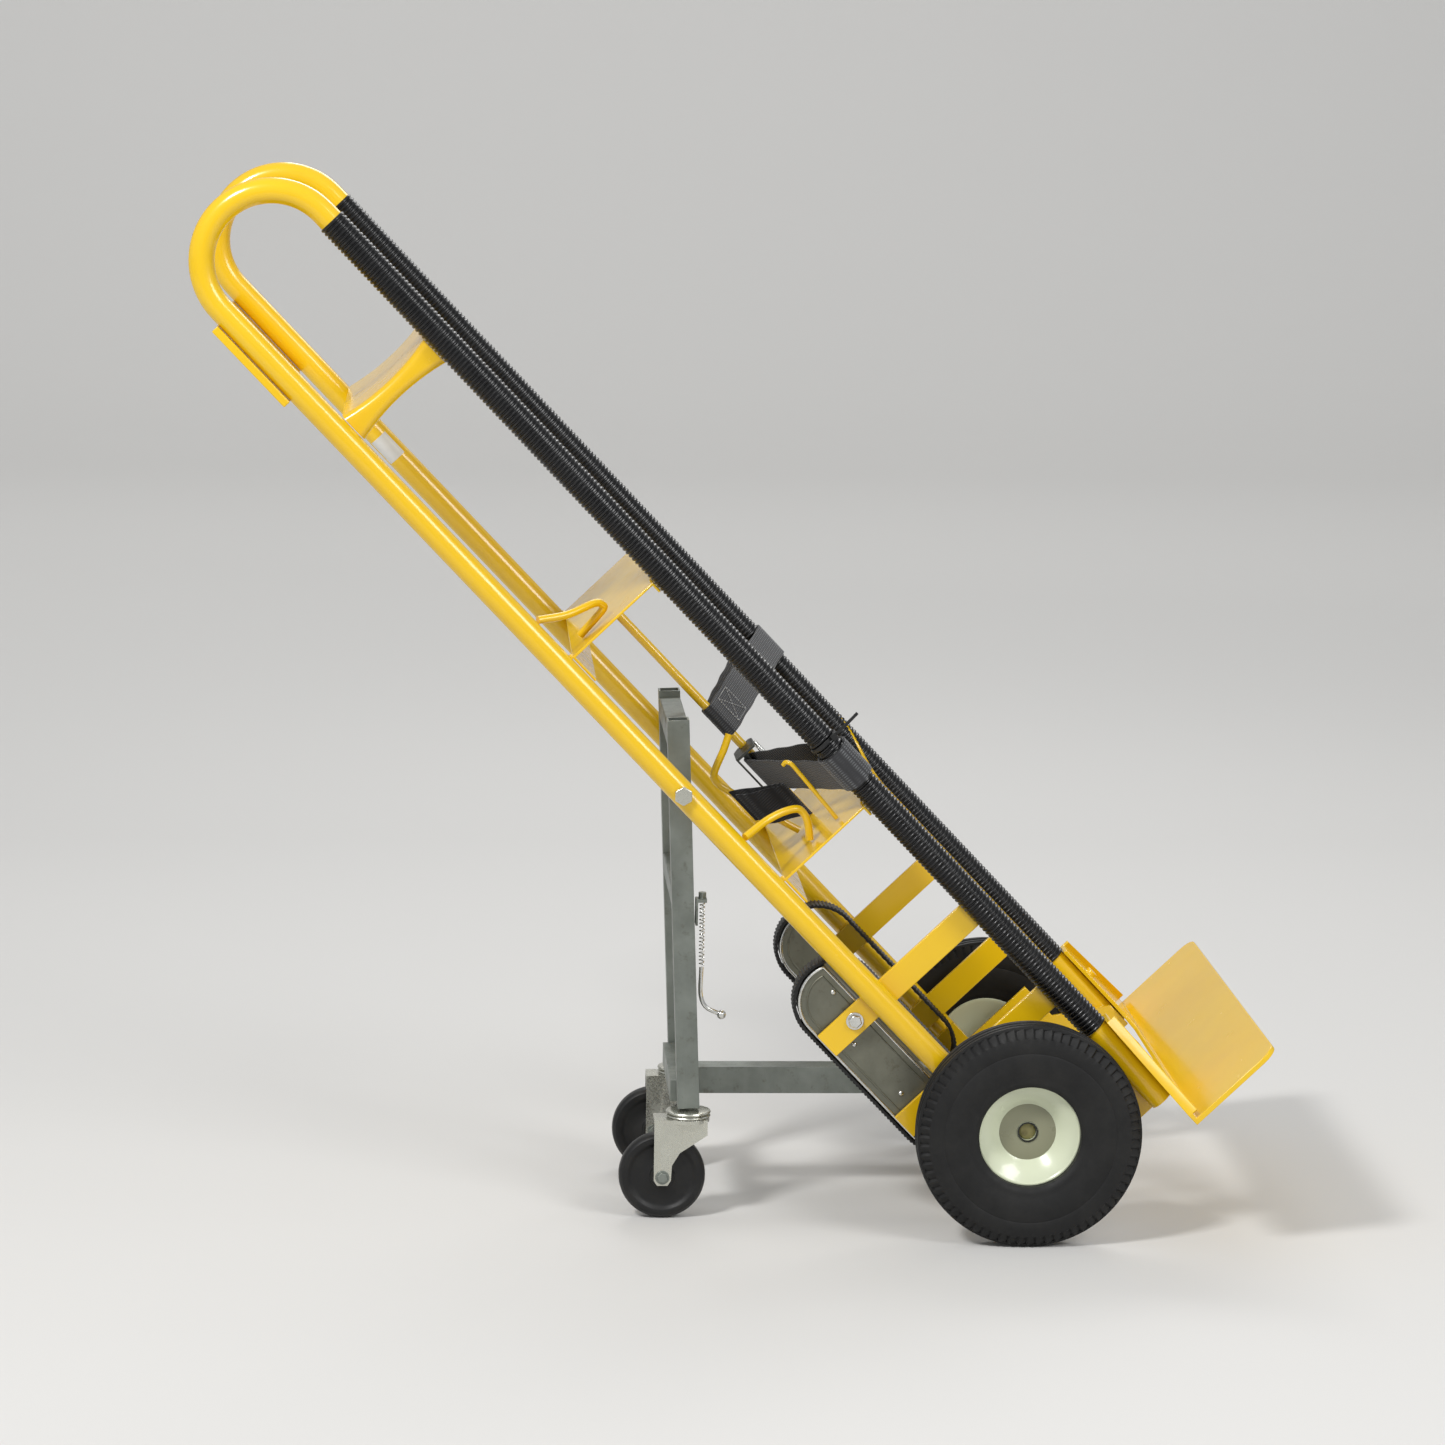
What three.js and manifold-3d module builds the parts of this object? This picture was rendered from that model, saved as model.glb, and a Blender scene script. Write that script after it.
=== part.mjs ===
// A stair-climbing appliance hand truck, tipped back on its fold-down caster stand.
// Millimetres. +X is the toe-plate side, +Y is the truck's left, +Z is up.
// The truck itself is drawn standing upright in its own axes: w forward, y left, u up the rails,
// with the wheel axle at the origin. It is then tipped back about the axle.
// The caster stand is drawn in the tipped position, also measured from the wheel axle.
import * as THREE from "three";
import { mergeVertices } from "three/addons/utils/BufferGeometryUtils.js";
import Module from "manifold-3d";

const wasm = await Module();
wasm.setup();

// ---- driving dimensions -------------------------------------------------------------------
const LEAN = THREE.MathUtils.degToRad(43.8); // rails tipped back from upright
const GAP = 0.3; // clearance left between neighbouring parts

const TUBE_R = 14.5; // rail tube
const FRAME_Y = 193; // side frame centre plane
const REAR_W = -21; // rear rail line, behind the axle
const RAIL_SPACING = 157; // rear rail to front rail
const FRONT_W = REAR_W + RAIL_SPACING;
const LOOP_U = 1308; // where the handle loop begins
const FRONT_RAIL_BOTTOM = -88;
const REAR_RAIL_BOTTOM = 36;
const SLEEVE_INNER_R = TUBE_R + GAP;
const SLEEVE_OUTER_R = 16.2;
const SLEEVE_BOTTOM = 28;
const SLEEVE_TOP = 1300;

const SHEET = 3; // formed sheet thickness
const PANEL_Y = 190; // half width of the two lower cross members
const TOP_MEMBER_U = 1112;
const MIDDLE_MEMBER_U = 755;
const LOWER_MEMBER_U = 402;
const TIE_ROD_W = 53;
const TIE_ROD_R = 5.5;

const TOE_HALF_WIDTH = 305;
const TOE_ROOT_W = 151;
const TOE_TIP_W = 274;
const TOE_U = -101;
const TOE_THICKNESS = 6;
const NOSE_TOP_U = 28;

const AXLE_R = 9.5;
const AXLE_END_Y = 224;
const BRACKET_Y = 172.2; // inner face of the axle bracket plates and climber bars
const PLATE = 6; // axle bracket and climber bar thickness
const WHEEL_R = 130;
const WHEEL_Y = 235;
const RIM_R = 59.7;
const HUB_R = 14.2;

const BAR_HALF_HEIGHT = 16;
const UPPER_BAR_U = 222;
const LOWER_BAR_U = 90;
const CLIMBER_W = -60; // centre line of the belt ends
const CLIMBER_TOP_U = 250;
const CLIMBER_BOTTOM_U = 75;
const BELT_OUTER_R = 52.5;
const BELT_INNER_R = 47.5;
const BELT_INNER_Y = 140;
const BELT_OUTER_Y = 170;
const SKID_R = 46.5;
const SKID_FRONT_W = -42;

const PIVOT_U = 555; // stand pivot, on the rear rail line
const PIVOT_R = 5;
const LEG_Y = 112;
const LEG_SIZE = 25.4;
const LEG_TILT = THREE.MathUtils.degToRad(2.25);
const LEG_ABOVE = 73;
const LEG_BELOW = 384.5;
const BRACE_SIZE = 31.8;
const BRACE_Z = 10;
const HEAD_X = -392;
const HEAD_Z = 17;
const CASTER_X = -384;
const CASTER_TRAIL = 30;
const CASTER_R = 50.8;

// ---- finishes -----------------------------------------------------------------------------
const finish = (name, color, metalness, roughness) =>
  Object.assign(new THREE.MeshStandardMaterial({ color, metalness, roughness }), { name });
const YELLOW = finish("yellow_paint", 0xf2b100, 0.1, 0.3);
const SLEEVE_BLACK = finish("sleeve_black", 0x111111, 0, 0.4);
const TYRE_BLACK = finish("tyre_rubber", 0x161616, 0, 0.85);
const CREAM = finish("cream_paint", 0xd9dbc4, 0.1, 0.35);
const ZINC = finish("zinc_steel", 0x6d7168, 0.8, 0.45);
const DARK_STEEL = finish("dark_steel", 0x3d3f3d, 0.8, 0.45);
const AXLE_STEEL = finish("axle_steel", 0x7d7442, 0.9, 0.4);
const BRIGHT = finish("bright_steel", 0xc8cac8, 1, 0.25);
const BELT_BLACK = finish("belt_rubber", 0x1a1a18, 0, 0.7);
const WEBBING = finish("grey_webbing", 0x77797a, 0, 0.9);
const BLACK_PLASTIC = finish("black_plastic", 0x151515, 0, 0.5);

// ---- solid helpers ------------------------------------------------------------------------
function toManifold(geometry) {
  const bare = geometry.index ? geometry.toNonIndexed() : geometry.clone();
  bare.deleteAttribute("normal");
  bare.deleteAttribute("uv");
  const welded = mergeVertices(bare, 1e-4);
  return new wasm.Manifold(new wasm.Mesh({
    numProp: 3,
    vertProperties: new Float32Array(welded.attributes.position.array),
    triVerts: new Uint32Array(welded.index.array),
  }));
}

function toGeometry(solid) {
  const mesh = solid.getMesh();
  const geometry = new THREE.BufferGeometry();
  geometry.setAttribute("position", new THREE.BufferAttribute(new Float32Array(mesh.vertProperties), 3));
  geometry.setIndex(new THREE.BufferAttribute(new Uint32Array(mesh.triVerts), 1));
  const flat = geometry.toNonIndexed();
  flat.computeVertexNormals();
  return flat;
}

const join = (...parts) => toGeometry(parts.map(toManifold).reduce((a, b) => a.add(b)));
const cut = (body, ...tools) => toGeometry(tools.map(toManifold).reduce((a, b) => a.subtract(b), toManifold(body)));

function box(x0, x1, y0, y1, z0, z1) {
  return new THREE.BoxGeometry(x1 - x0, y1 - y0, z1 - z0)
    .translate((x0 + x1) / 2, (y0 + y1) / 2, (z0 + z1) / 2);
}

// a round bar along Y
function rodY(radius, y0, y1, x, z, sides = 20) {
  return new THREE.CylinderGeometry(radius, radius, y1 - y0, sides).translate(x, (y0 + y1) / 2, z);
}

// a round bar along Z
function rodZ(radius, z0, z1, x, y, sides = 20) {
  return new THREE.CylinderGeometry(radius, radius, z1 - z0, sides)
    .rotateX(Math.PI / 2).translate(x, y, (z0 + z1) / 2);
}

const outline = (points) => new THREE.Shape(points.map(([a, b]) => new THREE.Vector2(a, b)));

// a plate whose outline is drawn in X and Z, between y0 and y1
function plateY(points, y0, y1, holes = []) {
  const shape = outline(points);
  shape.holes = holes.map(outline);
  return new THREE.ExtrudeGeometry(shape, { depth: y1 - y0, bevelEnabled: false, steps: 1 })
    .rotateX(Math.PI / 2).translate(0, y1, 0);
}

// a plate whose outline is drawn in X and Y, between z0 and z1
function plateZ(points, z0, z1, holes = []) {
  const shape = outline(points);
  shape.holes = holes.map(outline);
  return new THREE.ExtrudeGeometry(shape, { depth: z1 - z0, bevelEnabled: false, steps: 1 })
    .translate(0, 0, z0);
}

// points along an arc, angles in degrees
function arc(cx, cy, radius, from, to, steps) {
  return Array.from({ length: steps + 1 }, (_, i) => {
    const angle = THREE.MathUtils.degToRad(from + (to - from) * i / steps);
    return [cx + radius * Math.cos(angle), cy + radius * Math.sin(angle)];
  });
}

// the outline of a band round two circles, the first and the second drawn anticlockwise
function bandOutline([ax, ay, ar], [bx, by, br], steps = 12) {
  const along = Math.atan2(by - ay, bx - ax);
  const spread = Math.acos((ar - br) / Math.hypot(bx - ax, by - ay));
  const toDegrees = THREE.MathUtils.radToDeg;
  const start = toDegrees(along + spread);
  const end = toDegrees(along - spread) + 360;
  return [...arc(ax, ay, ar, start, end, steps), ...arc(bx, by, br, end - 360, start, steps)];
}

// a solid turned about a line along Y: profile points are [radius, offset along Y]
function turnedY(profile, sides, x, y, z, flip = 1) {
  const points = [...profile, profile[0]].map(([r, t]) => new THREE.Vector2(r, t));
  const geometry = new THREE.LatheGeometry(points, sides);
  const solid = toManifold(geometry);
  const fixed = solid.volume() < 0 ? toManifold(turnOver(geometry)) : solid;
  const result = toGeometry(fixed);
  if (flip < 0) result.rotateX(Math.PI);
  return result.translate(x, y, z);
}

function turnOver(geometry) {
  const copy = geometry.index ? geometry.toNonIndexed() : geometry.clone();
  const p = copy.attributes.position.array;
  for (let i = 0; i < p.length; i += 9) {
    for (let k = 0; k < 3; k += 1) {
      [p[i + 3 + k], p[i + 6 + k]] = [p[i + 6 + k], p[i + 3 + k]];
    }
  }
  return copy;
}

// a round bar bent through a list of [x, y, z] points, with flat ends
function bentRod(points, radius, steps, sides = 12) {
  const route = new THREE.CatmullRomCurve3(points.map((p) => new THREE.Vector3(...p)), false, "centripetal");
  const section = outline(arc(0, 0, radius, 0, 360 - 360 / sides, sides - 1));
  return new THREE.ExtrudeGeometry(section, { extrudePath: route, steps, bevelEnabled: false });
}

// ---- collecting the parts -----------------------------------------------------------------
const truck = new THREE.Group();
const tipBack = new THREE.Matrix4().makeRotationY(-LEAN);

function add(name, geometry, material, matrix = null) {
  if (matrix) geometry.applyMatrix4(matrix);
  const mesh = new THREE.Mesh(geometry, material);
  mesh.name = name;
  truck.add(mesh);
}
const addTipped = (name, geometry, material) => add(name, geometry, material, tipBack);

const SIDES = [["right", -1], ["left", 1]];
// a span of Y on one side of the truck, lowest first
const span = (side, inner, outer) => (side > 0 ? [inner, outer] : [-outer, -inner]);

// the half circle that joins the front rail to the rear rail
class HandleLoop extends THREE.Curve {
  constructor(y) {
    super();
    this.y = y;
  }

  getPoint(t) {
    const angle = Math.PI * t;
    const radius = RAIL_SPACING / 2;
    return new THREE.Vector3(
      REAR_W + radius + radius * Math.cos(angle), this.y, LOOP_U + GAP / 2 + radius * Math.sin(angle));
  }
}

// ---- side frames, sleeves and cross members -------------------------------------------------
for (const [label, side] of SIDES) {
  const y = side * FRAME_Y;
  // each side frame is one bent tube, divided here where the handle loop begins
  const railTop = LOOP_U - GAP / 2;
  addTipped(`${label}_front_rail`, rodZ(TUBE_R, FRONT_RAIL_BOTTOM, railTop, FRONT_W, y, 24), YELLOW);
  const pivotHole = rodY(PIVOT_R + 1, y - 20, y + 20, REAR_W, PIVOT_U);
  addTipped(`${label}_rear_rail`, cut(rodZ(TUBE_R, REAR_RAIL_BOTTOM, railTop, REAR_W, y, 24), pivotHole), YELLOW);
  const tubeSection = outline(arc(0, 0, TUBE_R, 0, 345, 23));
  const loop = new THREE.ExtrudeGeometry(tubeSection, { extrudePath: new HandleLoop(y), steps: 16, bevelEnabled: false });
  addTipped(`${label}_handle_loop`, loop, YELLOW);

  const sleeve = plateZ(arc(0, 0, SLEEVE_OUTER_R, 0, 345, 23), SLEEVE_BOTTOM, SLEEVE_TOP,
    [arc(0, 0, SLEEVE_INNER_R + 0.3, 0, 345, 23)]).translate(FRONT_W, y, 0);
  addTipped(`${label}_sleeve`, sleeve, SLEEVE_BLACK);
}

// the top member has a waisted section, hollowed front to back by its curved faces
const MEMBER_REAR = REAR_W + TUBE_R + 0.7;
const MEMBER_FRONT = FRONT_W - SLEEVE_OUTER_R - 0.7;
const waist = (sign) => Array.from({ length: 9 }, (_, i) => {
  const t = i / 8;
  const w = MEMBER_REAR + (MEMBER_FRONT - MEMBER_REAR) * t;
  return [w, TOP_MEMBER_U + sign * (11 + 7 * (2 * t - 1) ** 2)];
});
addTipped("top_cross_member", plateY([...waist(-1), ...waist(1).reverse()], -PANEL_Y, PANEL_Y), YELLOW);

function crossMember(u) {
  return plateY([
    [MEMBER_REAR, u - 38], [MEMBER_REAR + SHEET, u - 38], [MEMBER_REAR + SHEET, u - SHEET],
    [MEMBER_FRONT - SHEET, u - SHEET], [MEMBER_FRONT - SHEET, u - 14], [MEMBER_FRONT, u - 14],
    [MEMBER_FRONT, u], [MEMBER_REAR, u],
  ], -PANEL_Y, PANEL_Y);
}
addTipped("middle_cross_member", crossMember(MIDDLE_MEMBER_U), YELLOW);
addTipped("lower_cross_member", crossMember(LOWER_MEMBER_U), YELLOW);

const REAR_PLATE_W = REAR_W - TUBE_R - GAP;
const rearPlate = plateZ([
  [REAR_PLATE_W, -205], [REAR_PLATE_W, 205], [REAR_PLATE_W - 9, 205], [REAR_PLATE_W - 9, 202],
  [REAR_PLATE_W - SHEET, 202], [REAR_PLATE_W - SHEET, -202], [REAR_PLATE_W - 9, -202],
  [REAR_PLATE_W - 9, -205],
].reverse(), 1182, 1298);
addTipped("upper_rear_plate", rearPlate, YELLOW);

addTipped("tie_rod", rodZ(TIE_ROD_R, LOWER_MEMBER_U + GAP, MIDDLE_MEMBER_U - SHEET - GAP, TIE_ROD_W, 0, 16), YELLOW);
addTipped("strap_guide_rod", bentRod([
  [REAR_W + 16, -186, 812], [22, -170, 792], [52, -150, 778], [57, -145, 770], [52, -142, 765],
  [14, -135, 760.5],
], 4.6, 22, 10), YELLOW);
addTipped("lower_guide_rod", bentRod([
  [REAR_W + 16, -186, 468], [22, -166, 462], [42, -156, 455], [57, -151, 446], [60, -148, 437],
  [56, -146, 424], [44, -142, LOWER_MEMBER_U + 5],
], 4.6, 22, 10), YELLOW);
addTipped("strap_hook", bentRod([
  [36, -52, LOWER_MEMBER_U + 4.8], [22, -54, 450], [9, -56, 495], [5, -57, 515], [11, -58, 526],
  [37, -57, 538], [54, -55, 547],
], 4.4, 18, 10), YELLOW);
addTipped("strap_keeper", bentRod([
  [84, -152, LOWER_MEMBER_U + 3.2], [87, -152, 450], [89, -152, 484], [88, -150, 490],
  [85, -147, 493], [81, -144, 492],
], 2.6, 16, 8), YELLOW);

// ---- toe plate ------------------------------------------------------------------------------
const TOE_CORNER = 20;
const toeBase = plateZ([
  [TOE_ROOT_W, -TOE_HALF_WIDTH],
  ...arc(TOE_TIP_W - TOE_CORNER, -TOE_HALF_WIDTH + TOE_CORNER, TOE_CORNER, -90, 0, 5),
  ...arc(TOE_TIP_W - TOE_CORNER, TOE_HALF_WIDTH - TOE_CORNER, TOE_CORNER, 0, 90, 5),
  [TOE_ROOT_W, TOE_HALF_WIDTH],
], TOE_U - TOE_THICKNESS, TOE_U);
const LEG_INNER = 176;
const LEG_OUTER = 212;
const noseHalf = [
  [TOE_HALF_WIDTH, TOE_U - TOE_THICKNESS], [TOE_HALF_WIDTH, TOE_U + 8], [LEG_OUTER, NOSE_TOP_U],
  [LEG_INNER, NOSE_TOP_U], [LEG_INNER - 4, -60], [LEG_INNER - 14, -82], [LEG_INNER - 36, -94],
];
const noseOutline = [...noseHalf, ...noseHalf.map(([y, u]) => [-y, u]).reverse()];
// drawn in Y and Z, so it is turned to stand across the truck
const nosePlate = new THREE.ExtrudeGeometry(outline(noseOutline), { depth: 5, bevelEnabled: false })
  .rotateX(Math.PI / 2).rotateZ(Math.PI / 2).translate(TOE_ROOT_W, 0, 0);
const noseLip = (side) => {
  const bend = [[LEG_OUTER, NOSE_TOP_U], [TOE_HALF_WIDTH, TOE_U + 8]];
  const inward = bend.map(([y, u]) => [y - 4, u - 2]).reverse();
  const lip = outline([...bend, ...inward].map(([y, u]) => [side * y, u]));
  return new THREE.ExtrudeGeometry(lip, { depth: 12, bevelEnabled: false })
    .rotateX(Math.PI / 2).rotateZ(Math.PI / 2).translate(TOE_ROOT_W, 0, 0);
};
const noseBolt = (side) => new THREE.CylinderGeometry(7, 7, 6, 12)
  .rotateZ(Math.PI / 2).translate(TOE_ROOT_W + 7, side * FRAME_Y, -18);
addTipped("toe_plate", join(toeBase, nosePlate, noseLip(1), noseLip(-1), noseBolt(1), noseBolt(-1)), YELLOW);

// ---- axle, brackets and wheels --------------------------------------------------------------
add("axle", rodY(AXLE_R, -AXLE_END_Y, AXLE_END_Y, 0, 0, 24), AXLE_STEEL);
const TYRE_PROFILE = [
  [60, -20], [75, -24.4], [98, -26], [115, -24.5], [124.5, -20.5], [128.6, -15], [WHEEL_R, -6], [WHEEL_R, 6],
  [128.6, 15], [124.5, 20.5], [115, 24.5], [98, 26], [75, 24.4], [60, 20],
];
const RIM_PROFILE = [
  [AXLE_R + 0.4, -28], [HUB_R, -28], [HUB_R, -14], [33, -14], [56, -18], [RIM_R, -18], [RIM_R, 8],
  [56, 8], [33, -9], [HUB_R, -9], [HUB_R, -7], [AXLE_R + 0.4, -7],
];
for (const [label, side] of SIDES) {
  const [y0, y1] = span(side, BRACKET_Y, BRACKET_Y + PLATE);
  const bracket = cut(plateY([
    [-36, -30], [-14, -52], [60, -92], [149, -92], [149, -60], [88, -20], [88, 30], [-6, 30], [-6, 58],
    [-36, 58],
  ], y0, y1), rodY(AXLE_R + 0.4, y0 - 5, y1 + 5, 0, 0, 24));
  addTipped(`${label}_axle_bracket`, bracket, YELLOW);
  const [c0, c1] = span(side, BRACKET_Y + PLATE + GAP, 206);
  add(`${label}_axle_collar`, cut(rodY(15, c0, c1, 0, 0, 24), rodY(AXLE_R + 0.4, c0 - 5, c1 + 5, 0, 0, 24)), ZINC);
  add(`${label}_tyre`, turnedY(TYRE_PROFILE, 40, 0, side * WHEEL_Y, 0, side), TYRE_BLACK);
  add(`${label}_rim`, turnedY(RIM_PROFILE, 36, 0, side * WHEEL_Y, 0, side), CREAM);
}

// ---- stair climbers -------------------------------------------------------------------------
for (const [label, side] of SIDES) {
  const [y0, y1] = span(side, BRACKET_Y, BRACKET_Y + PLATE);
  for (const [place, u] of [["upper", UPPER_BAR_U], ["lower", LOWER_BAR_U]]) {
    addTipped(`${label}_${place}_climber_bar`,
      box(-104, 120, y0, y1, u - BAR_HALF_HEIGHT, u + BAR_HALF_HEIGHT), YELLOW);
  }
  const [b0, b1] = span(side, BELT_INNER_Y, BELT_OUTER_Y);
  const beltOutline = (r) => [
    ...arc(CLIMBER_W, CLIMBER_TOP_U, r, 0, 180, 14),
    ...arc(CLIMBER_W, CLIMBER_BOTTOM_U, r, 180, 360, 14),
  ];
  addTipped(`${label}_climber_belt`, plateY(beltOutline(BELT_OUTER_R), b0, b1, [beltOutline(BELT_INNER_R)]), BELT_BLACK);

  const meet = THREE.MathUtils.radToDeg(Math.acos((SKID_FRONT_W - CLIMBER_W) / SKID_R));
  const [s0, s1] = span(side, BELT_INNER_Y + 1.5, BELT_OUTER_Y - 1);
  const skidPlate = plateY([
    ...arc(CLIMBER_W, CLIMBER_TOP_U, SKID_R, meet, 180, 10),
    ...arc(CLIMBER_W, CLIMBER_BOTTOM_U, SKID_R, 180, 360 - meet, 10),
  ], s0, s1);
  const [p0, p1] = span(side, BELT_OUTER_Y - 4, BRACKET_Y - GAP);
  addTipped(`${label}_climber_skid`, join(skidPlate,
    rodY(11, p0, p1, CLIMBER_W, UPPER_BAR_U), rodY(11, p0, p1, CLIMBER_W, LOWER_BAR_U)), ZINC);
  const [h0, h1] = span(side, BRACKET_Y + PLATE + GAP, BRACKET_Y + PLATE + 7);
  addTipped(`${label}_climber_bolt`, rodY(8.5, h0, h1, CLIMBER_W, UPPER_BAR_U, 6), BRIGHT);
}

// ---- caster stand, drawn in the tipped position ----------------------------------------------
const PIVOT_X = REAR_W * Math.cos(LEAN) - PIVOT_U * Math.sin(LEAN);
const PIVOT_Z = REAR_W * Math.sin(LEAN) + PIVOT_U * Math.cos(LEAN);
const legMatrix = new THREE.Matrix4().makeTranslation(PIVOT_X, 0, PIVOT_Z)
  .multiply(new THREE.Matrix4().makeRotationY(-LEG_TILT));
const HALF_LEG = LEG_SIZE / 2;

add("pivot_rod", join(
  rodY(PIVOT_R, -212, 212, PIVOT_X, PIVOT_Z, 16),
  rodY(11, -214, -208, PIVOT_X, PIVOT_Z, 6), rodY(11, 208, 214, PIVOT_X, PIVOT_Z, 6),
), ZINC);
for (const [label, side] of SIDES) {
  const y = side * LEG_Y;
  const leg = cut(
    box(-HALF_LEG, HALF_LEG, y - HALF_LEG, y + HALF_LEG, -LEG_BELOW, LEG_ABOVE),
    box(-HALF_LEG + 2, HALF_LEG - 2, y - HALF_LEG + 2, y + HALF_LEG - 2, 20, LEG_ABOVE + 5),
    rodY(PIVOT_R + 0.4, y - 20, y + 20, 0, 0, 16),
  );
  add(`${label}_stand_leg`, leg, ZINC, legMatrix);
  const [y0, y1] = span(side, LEG_Y + HALF_LEG + 0.5, FRAME_Y - TUBE_R - 0.5);
  add(`${label}_pivot_spacer`, cut(rodY(9, y0, y1, PIVOT_X, PIVOT_Z),
    rodY(PIVOT_R + 0.4, y0 - 5, y1 + 5, PIVOT_X, PIVOT_Z, 16)), ZINC);
}
const CROSS_Y = LEG_Y - HALF_LEG - GAP;
add("stand_top_tube", box(-HALF_LEG, HALF_LEG, -CROSS_Y, CROSS_Y, 40, 40 + LEG_SIZE), ZINC, legMatrix);
add("stand_middle_tube", box(-HALF_LEG, HALF_LEG, -CROSS_Y, CROSS_Y, -136 - HALF_LEG, -136 + HALF_LEG), ZINC, legMatrix);

const HALF_BRACE = BRACE_SIZE / 2;
const braceBar = cut(
  box(HEAD_X, 17, -HALF_BRACE, HALF_BRACE, BRACE_Z - HALF_BRACE, BRACE_Z + HALF_BRACE),
  rodY(AXLE_R + 0.5, -30, 30, 0, 0, 24),
);
const braceHead = box(HEAD_X - HALF_LEG, HEAD_X + HALF_LEG, -98.4, 98.4, HEAD_Z - HALF_LEG, HEAD_Z + HALF_LEG);
add("brace", join(braceBar, braceHead), ZINC);

// ---- stand latch, on the front of the right leg -----------------------------------------------
const LATCH_X = -371;
const LATCH_TOP = 249;
const LATCH_Y = -LEG_Y;
add("latch_bracket", join(
  box(-379, LATCH_X + 5, LATCH_Y - 9, LATCH_Y + 9, LATCH_TOP - 4, LATCH_TOP),
  box(-379, -376.2, LATCH_Y - 9, LATCH_Y + 9, LATCH_TOP - 31, LATCH_TOP),
  rodZ(5, LATCH_TOP - 1, LATCH_TOP + 7, LATCH_X, LATCH_Y, 6),
), ZINC);
add("latch_spring", rodZ(3.2, 168, LATCH_TOP - 4.5, LATCH_X, LATCH_Y, 12), ZINC);
add("foot_lever", join(
  bentRod([
    [LATCH_X, LATCH_Y, 167.5], [LATCH_X, LATCH_Y, 132], [LATCH_X + 6, LATCH_Y, 120],
    [LATCH_X + 22, LATCH_Y, 112],
  ], 2.6, 14, 10),
  new THREE.SphereGeometry(5.5, 12, 8).translate(LATCH_X + 24, LATCH_Y, 111),
), BRIGHT);

// ---- casters --------------------------------------------------------------------------------
const WHEEL_Z = CASTER_R - WHEEL_R;
const WHEEL_X = CASTER_X - CASTER_TRAIL;
const RACE_R = 26.5;
const FORK_R = 25;
const LEG_HALF = 10; // half the width of a fork leg
for (const [label, side] of SIDES) {
  const y = side * LEG_Y;
  add(`${label}_caster_plate`, rodZ(RACE_R, -10, -1.2, CASTER_X, y, 24), ZINC);
  const cheek = (y0, y1) => plateY([
    [WHEEL_X - LEG_HALF, -11], [WHEEL_X - LEG_HALF, WHEEL_Z - 4], [WHEEL_X - 6, WHEEL_Z - 10],
    [WHEEL_X + 6, WHEEL_Z - 10], [WHEEL_X + LEG_HALF, WHEEL_Z - 4], [WHEEL_X + LEG_HALF + 1, WHEEL_Z + 14],
    [WHEEL_X + 20, WHEEL_Z + 29], [CASTER_X + FORK_R - 3, -29], [CASTER_X + FORK_R - 3, -11],
  ].reverse(), y0, y1);
  add(`${label}_caster_fork`, join(
    rodZ(FORK_R, -15, -10.4, CASTER_X, y, 24),
    box(WHEEL_X - LEG_HALF, CASTER_X, y - 18, y + 18, -15, -11),
    cheek(y - 18, y - 15), cheek(y + 15, y + 18),
    rodY(5, y - 20, y + 20, WHEEL_X, WHEEL_Z, 12),
  ), ZINC);
  add(`${label}_caster_wheel`, turnedY([
    [5.4, -14], [14, -14], [16, -9], [38, -9], [42, -12.5], [48, -11.5], [CASTER_R, -6], [CASTER_R, 6],
    [48, 11.5], [42, 12.5], [38, 9], [16, 9], [14, 14], [5.4, 14],
  ], 32, WHEEL_X, y, WHEEL_Z), TYRE_BLACK);
}

// ---- strap ----------------------------------------------------------------------------------
const WEB = 2.2; // webbing thickness
const SLEEVE_LOOP_R = SLEEVE_OUTER_R + 0.4;
const strapRound = (y, smallCircle, u0, u1) => plateZ(
  bandOutline([FRONT_W, y, SLEEVE_LOOP_R + WEB], [smallCircle[0], smallCircle[1], smallCircle[2] + WEB]),
  u0, u1,
  [bandOutline([FRONT_W, y, SLEEVE_LOOP_R], smallCircle)],
);
addTipped("left_strap", strapRound(FRAME_Y, [TIE_ROD_W, 0, TIE_ROD_R + 0.5], 535, 581), WEBBING);
const BUCKLE_W = 50;
const BUCKLE_Y = -34;
const BUCKLE_U = 487;
const rightStrap = strapRound(-FRAME_Y, [BUCKLE_W, BUCKLE_Y, 4.3], BUCKLE_U - 23, BUCKLE_U + 23);
// the right strap runs down towards its sleeve
const slope = new THREE.Matrix4().set(1, 0, 0, 0, 0, 1, 0, 0, 0, 0.21, 1, -0.21 * BUCKLE_Y, 0, 0, 0, 1);
addTipped("right_strap", rightStrap.applyMatrix4(slope), WEBBING);

const cheekOutline = [[38, -46], [66, -46], [66, 2], [62, 10], [44, 10], [38, 2]];
const buckleCheek = (u0, u1) => cut(plateZ(cheekOutline, u0, u1), rodZ(TIE_ROD_R + 0.5, u0 - 5, u1 + 5, TIE_ROD_W, 0, 16));
addTipped("buckle_frame", join(
  buckleCheek(BUCKLE_U - 30, BUCKLE_U - 27), buckleCheek(BUCKLE_U + 27, BUCKLE_U + 30),
  rodZ(3.9, BUCKLE_U - 28, BUCKLE_U + 28, BUCKLE_W, BUCKLE_Y, 12),
  box(38, 40, -46, -40, BUCKLE_U - 28, BUCKLE_U + 28),
), DARK_STEEL);
addTipped("buckle_cam", join(
  rodZ(3, BUCKLE_U - 26.4, BUCKLE_U + 26.4, 66, -10, 12),
  box(65, 67, -38, -10, BUCKLE_U - 22, BUCKLE_U + 22),
), BRIGHT);

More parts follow.
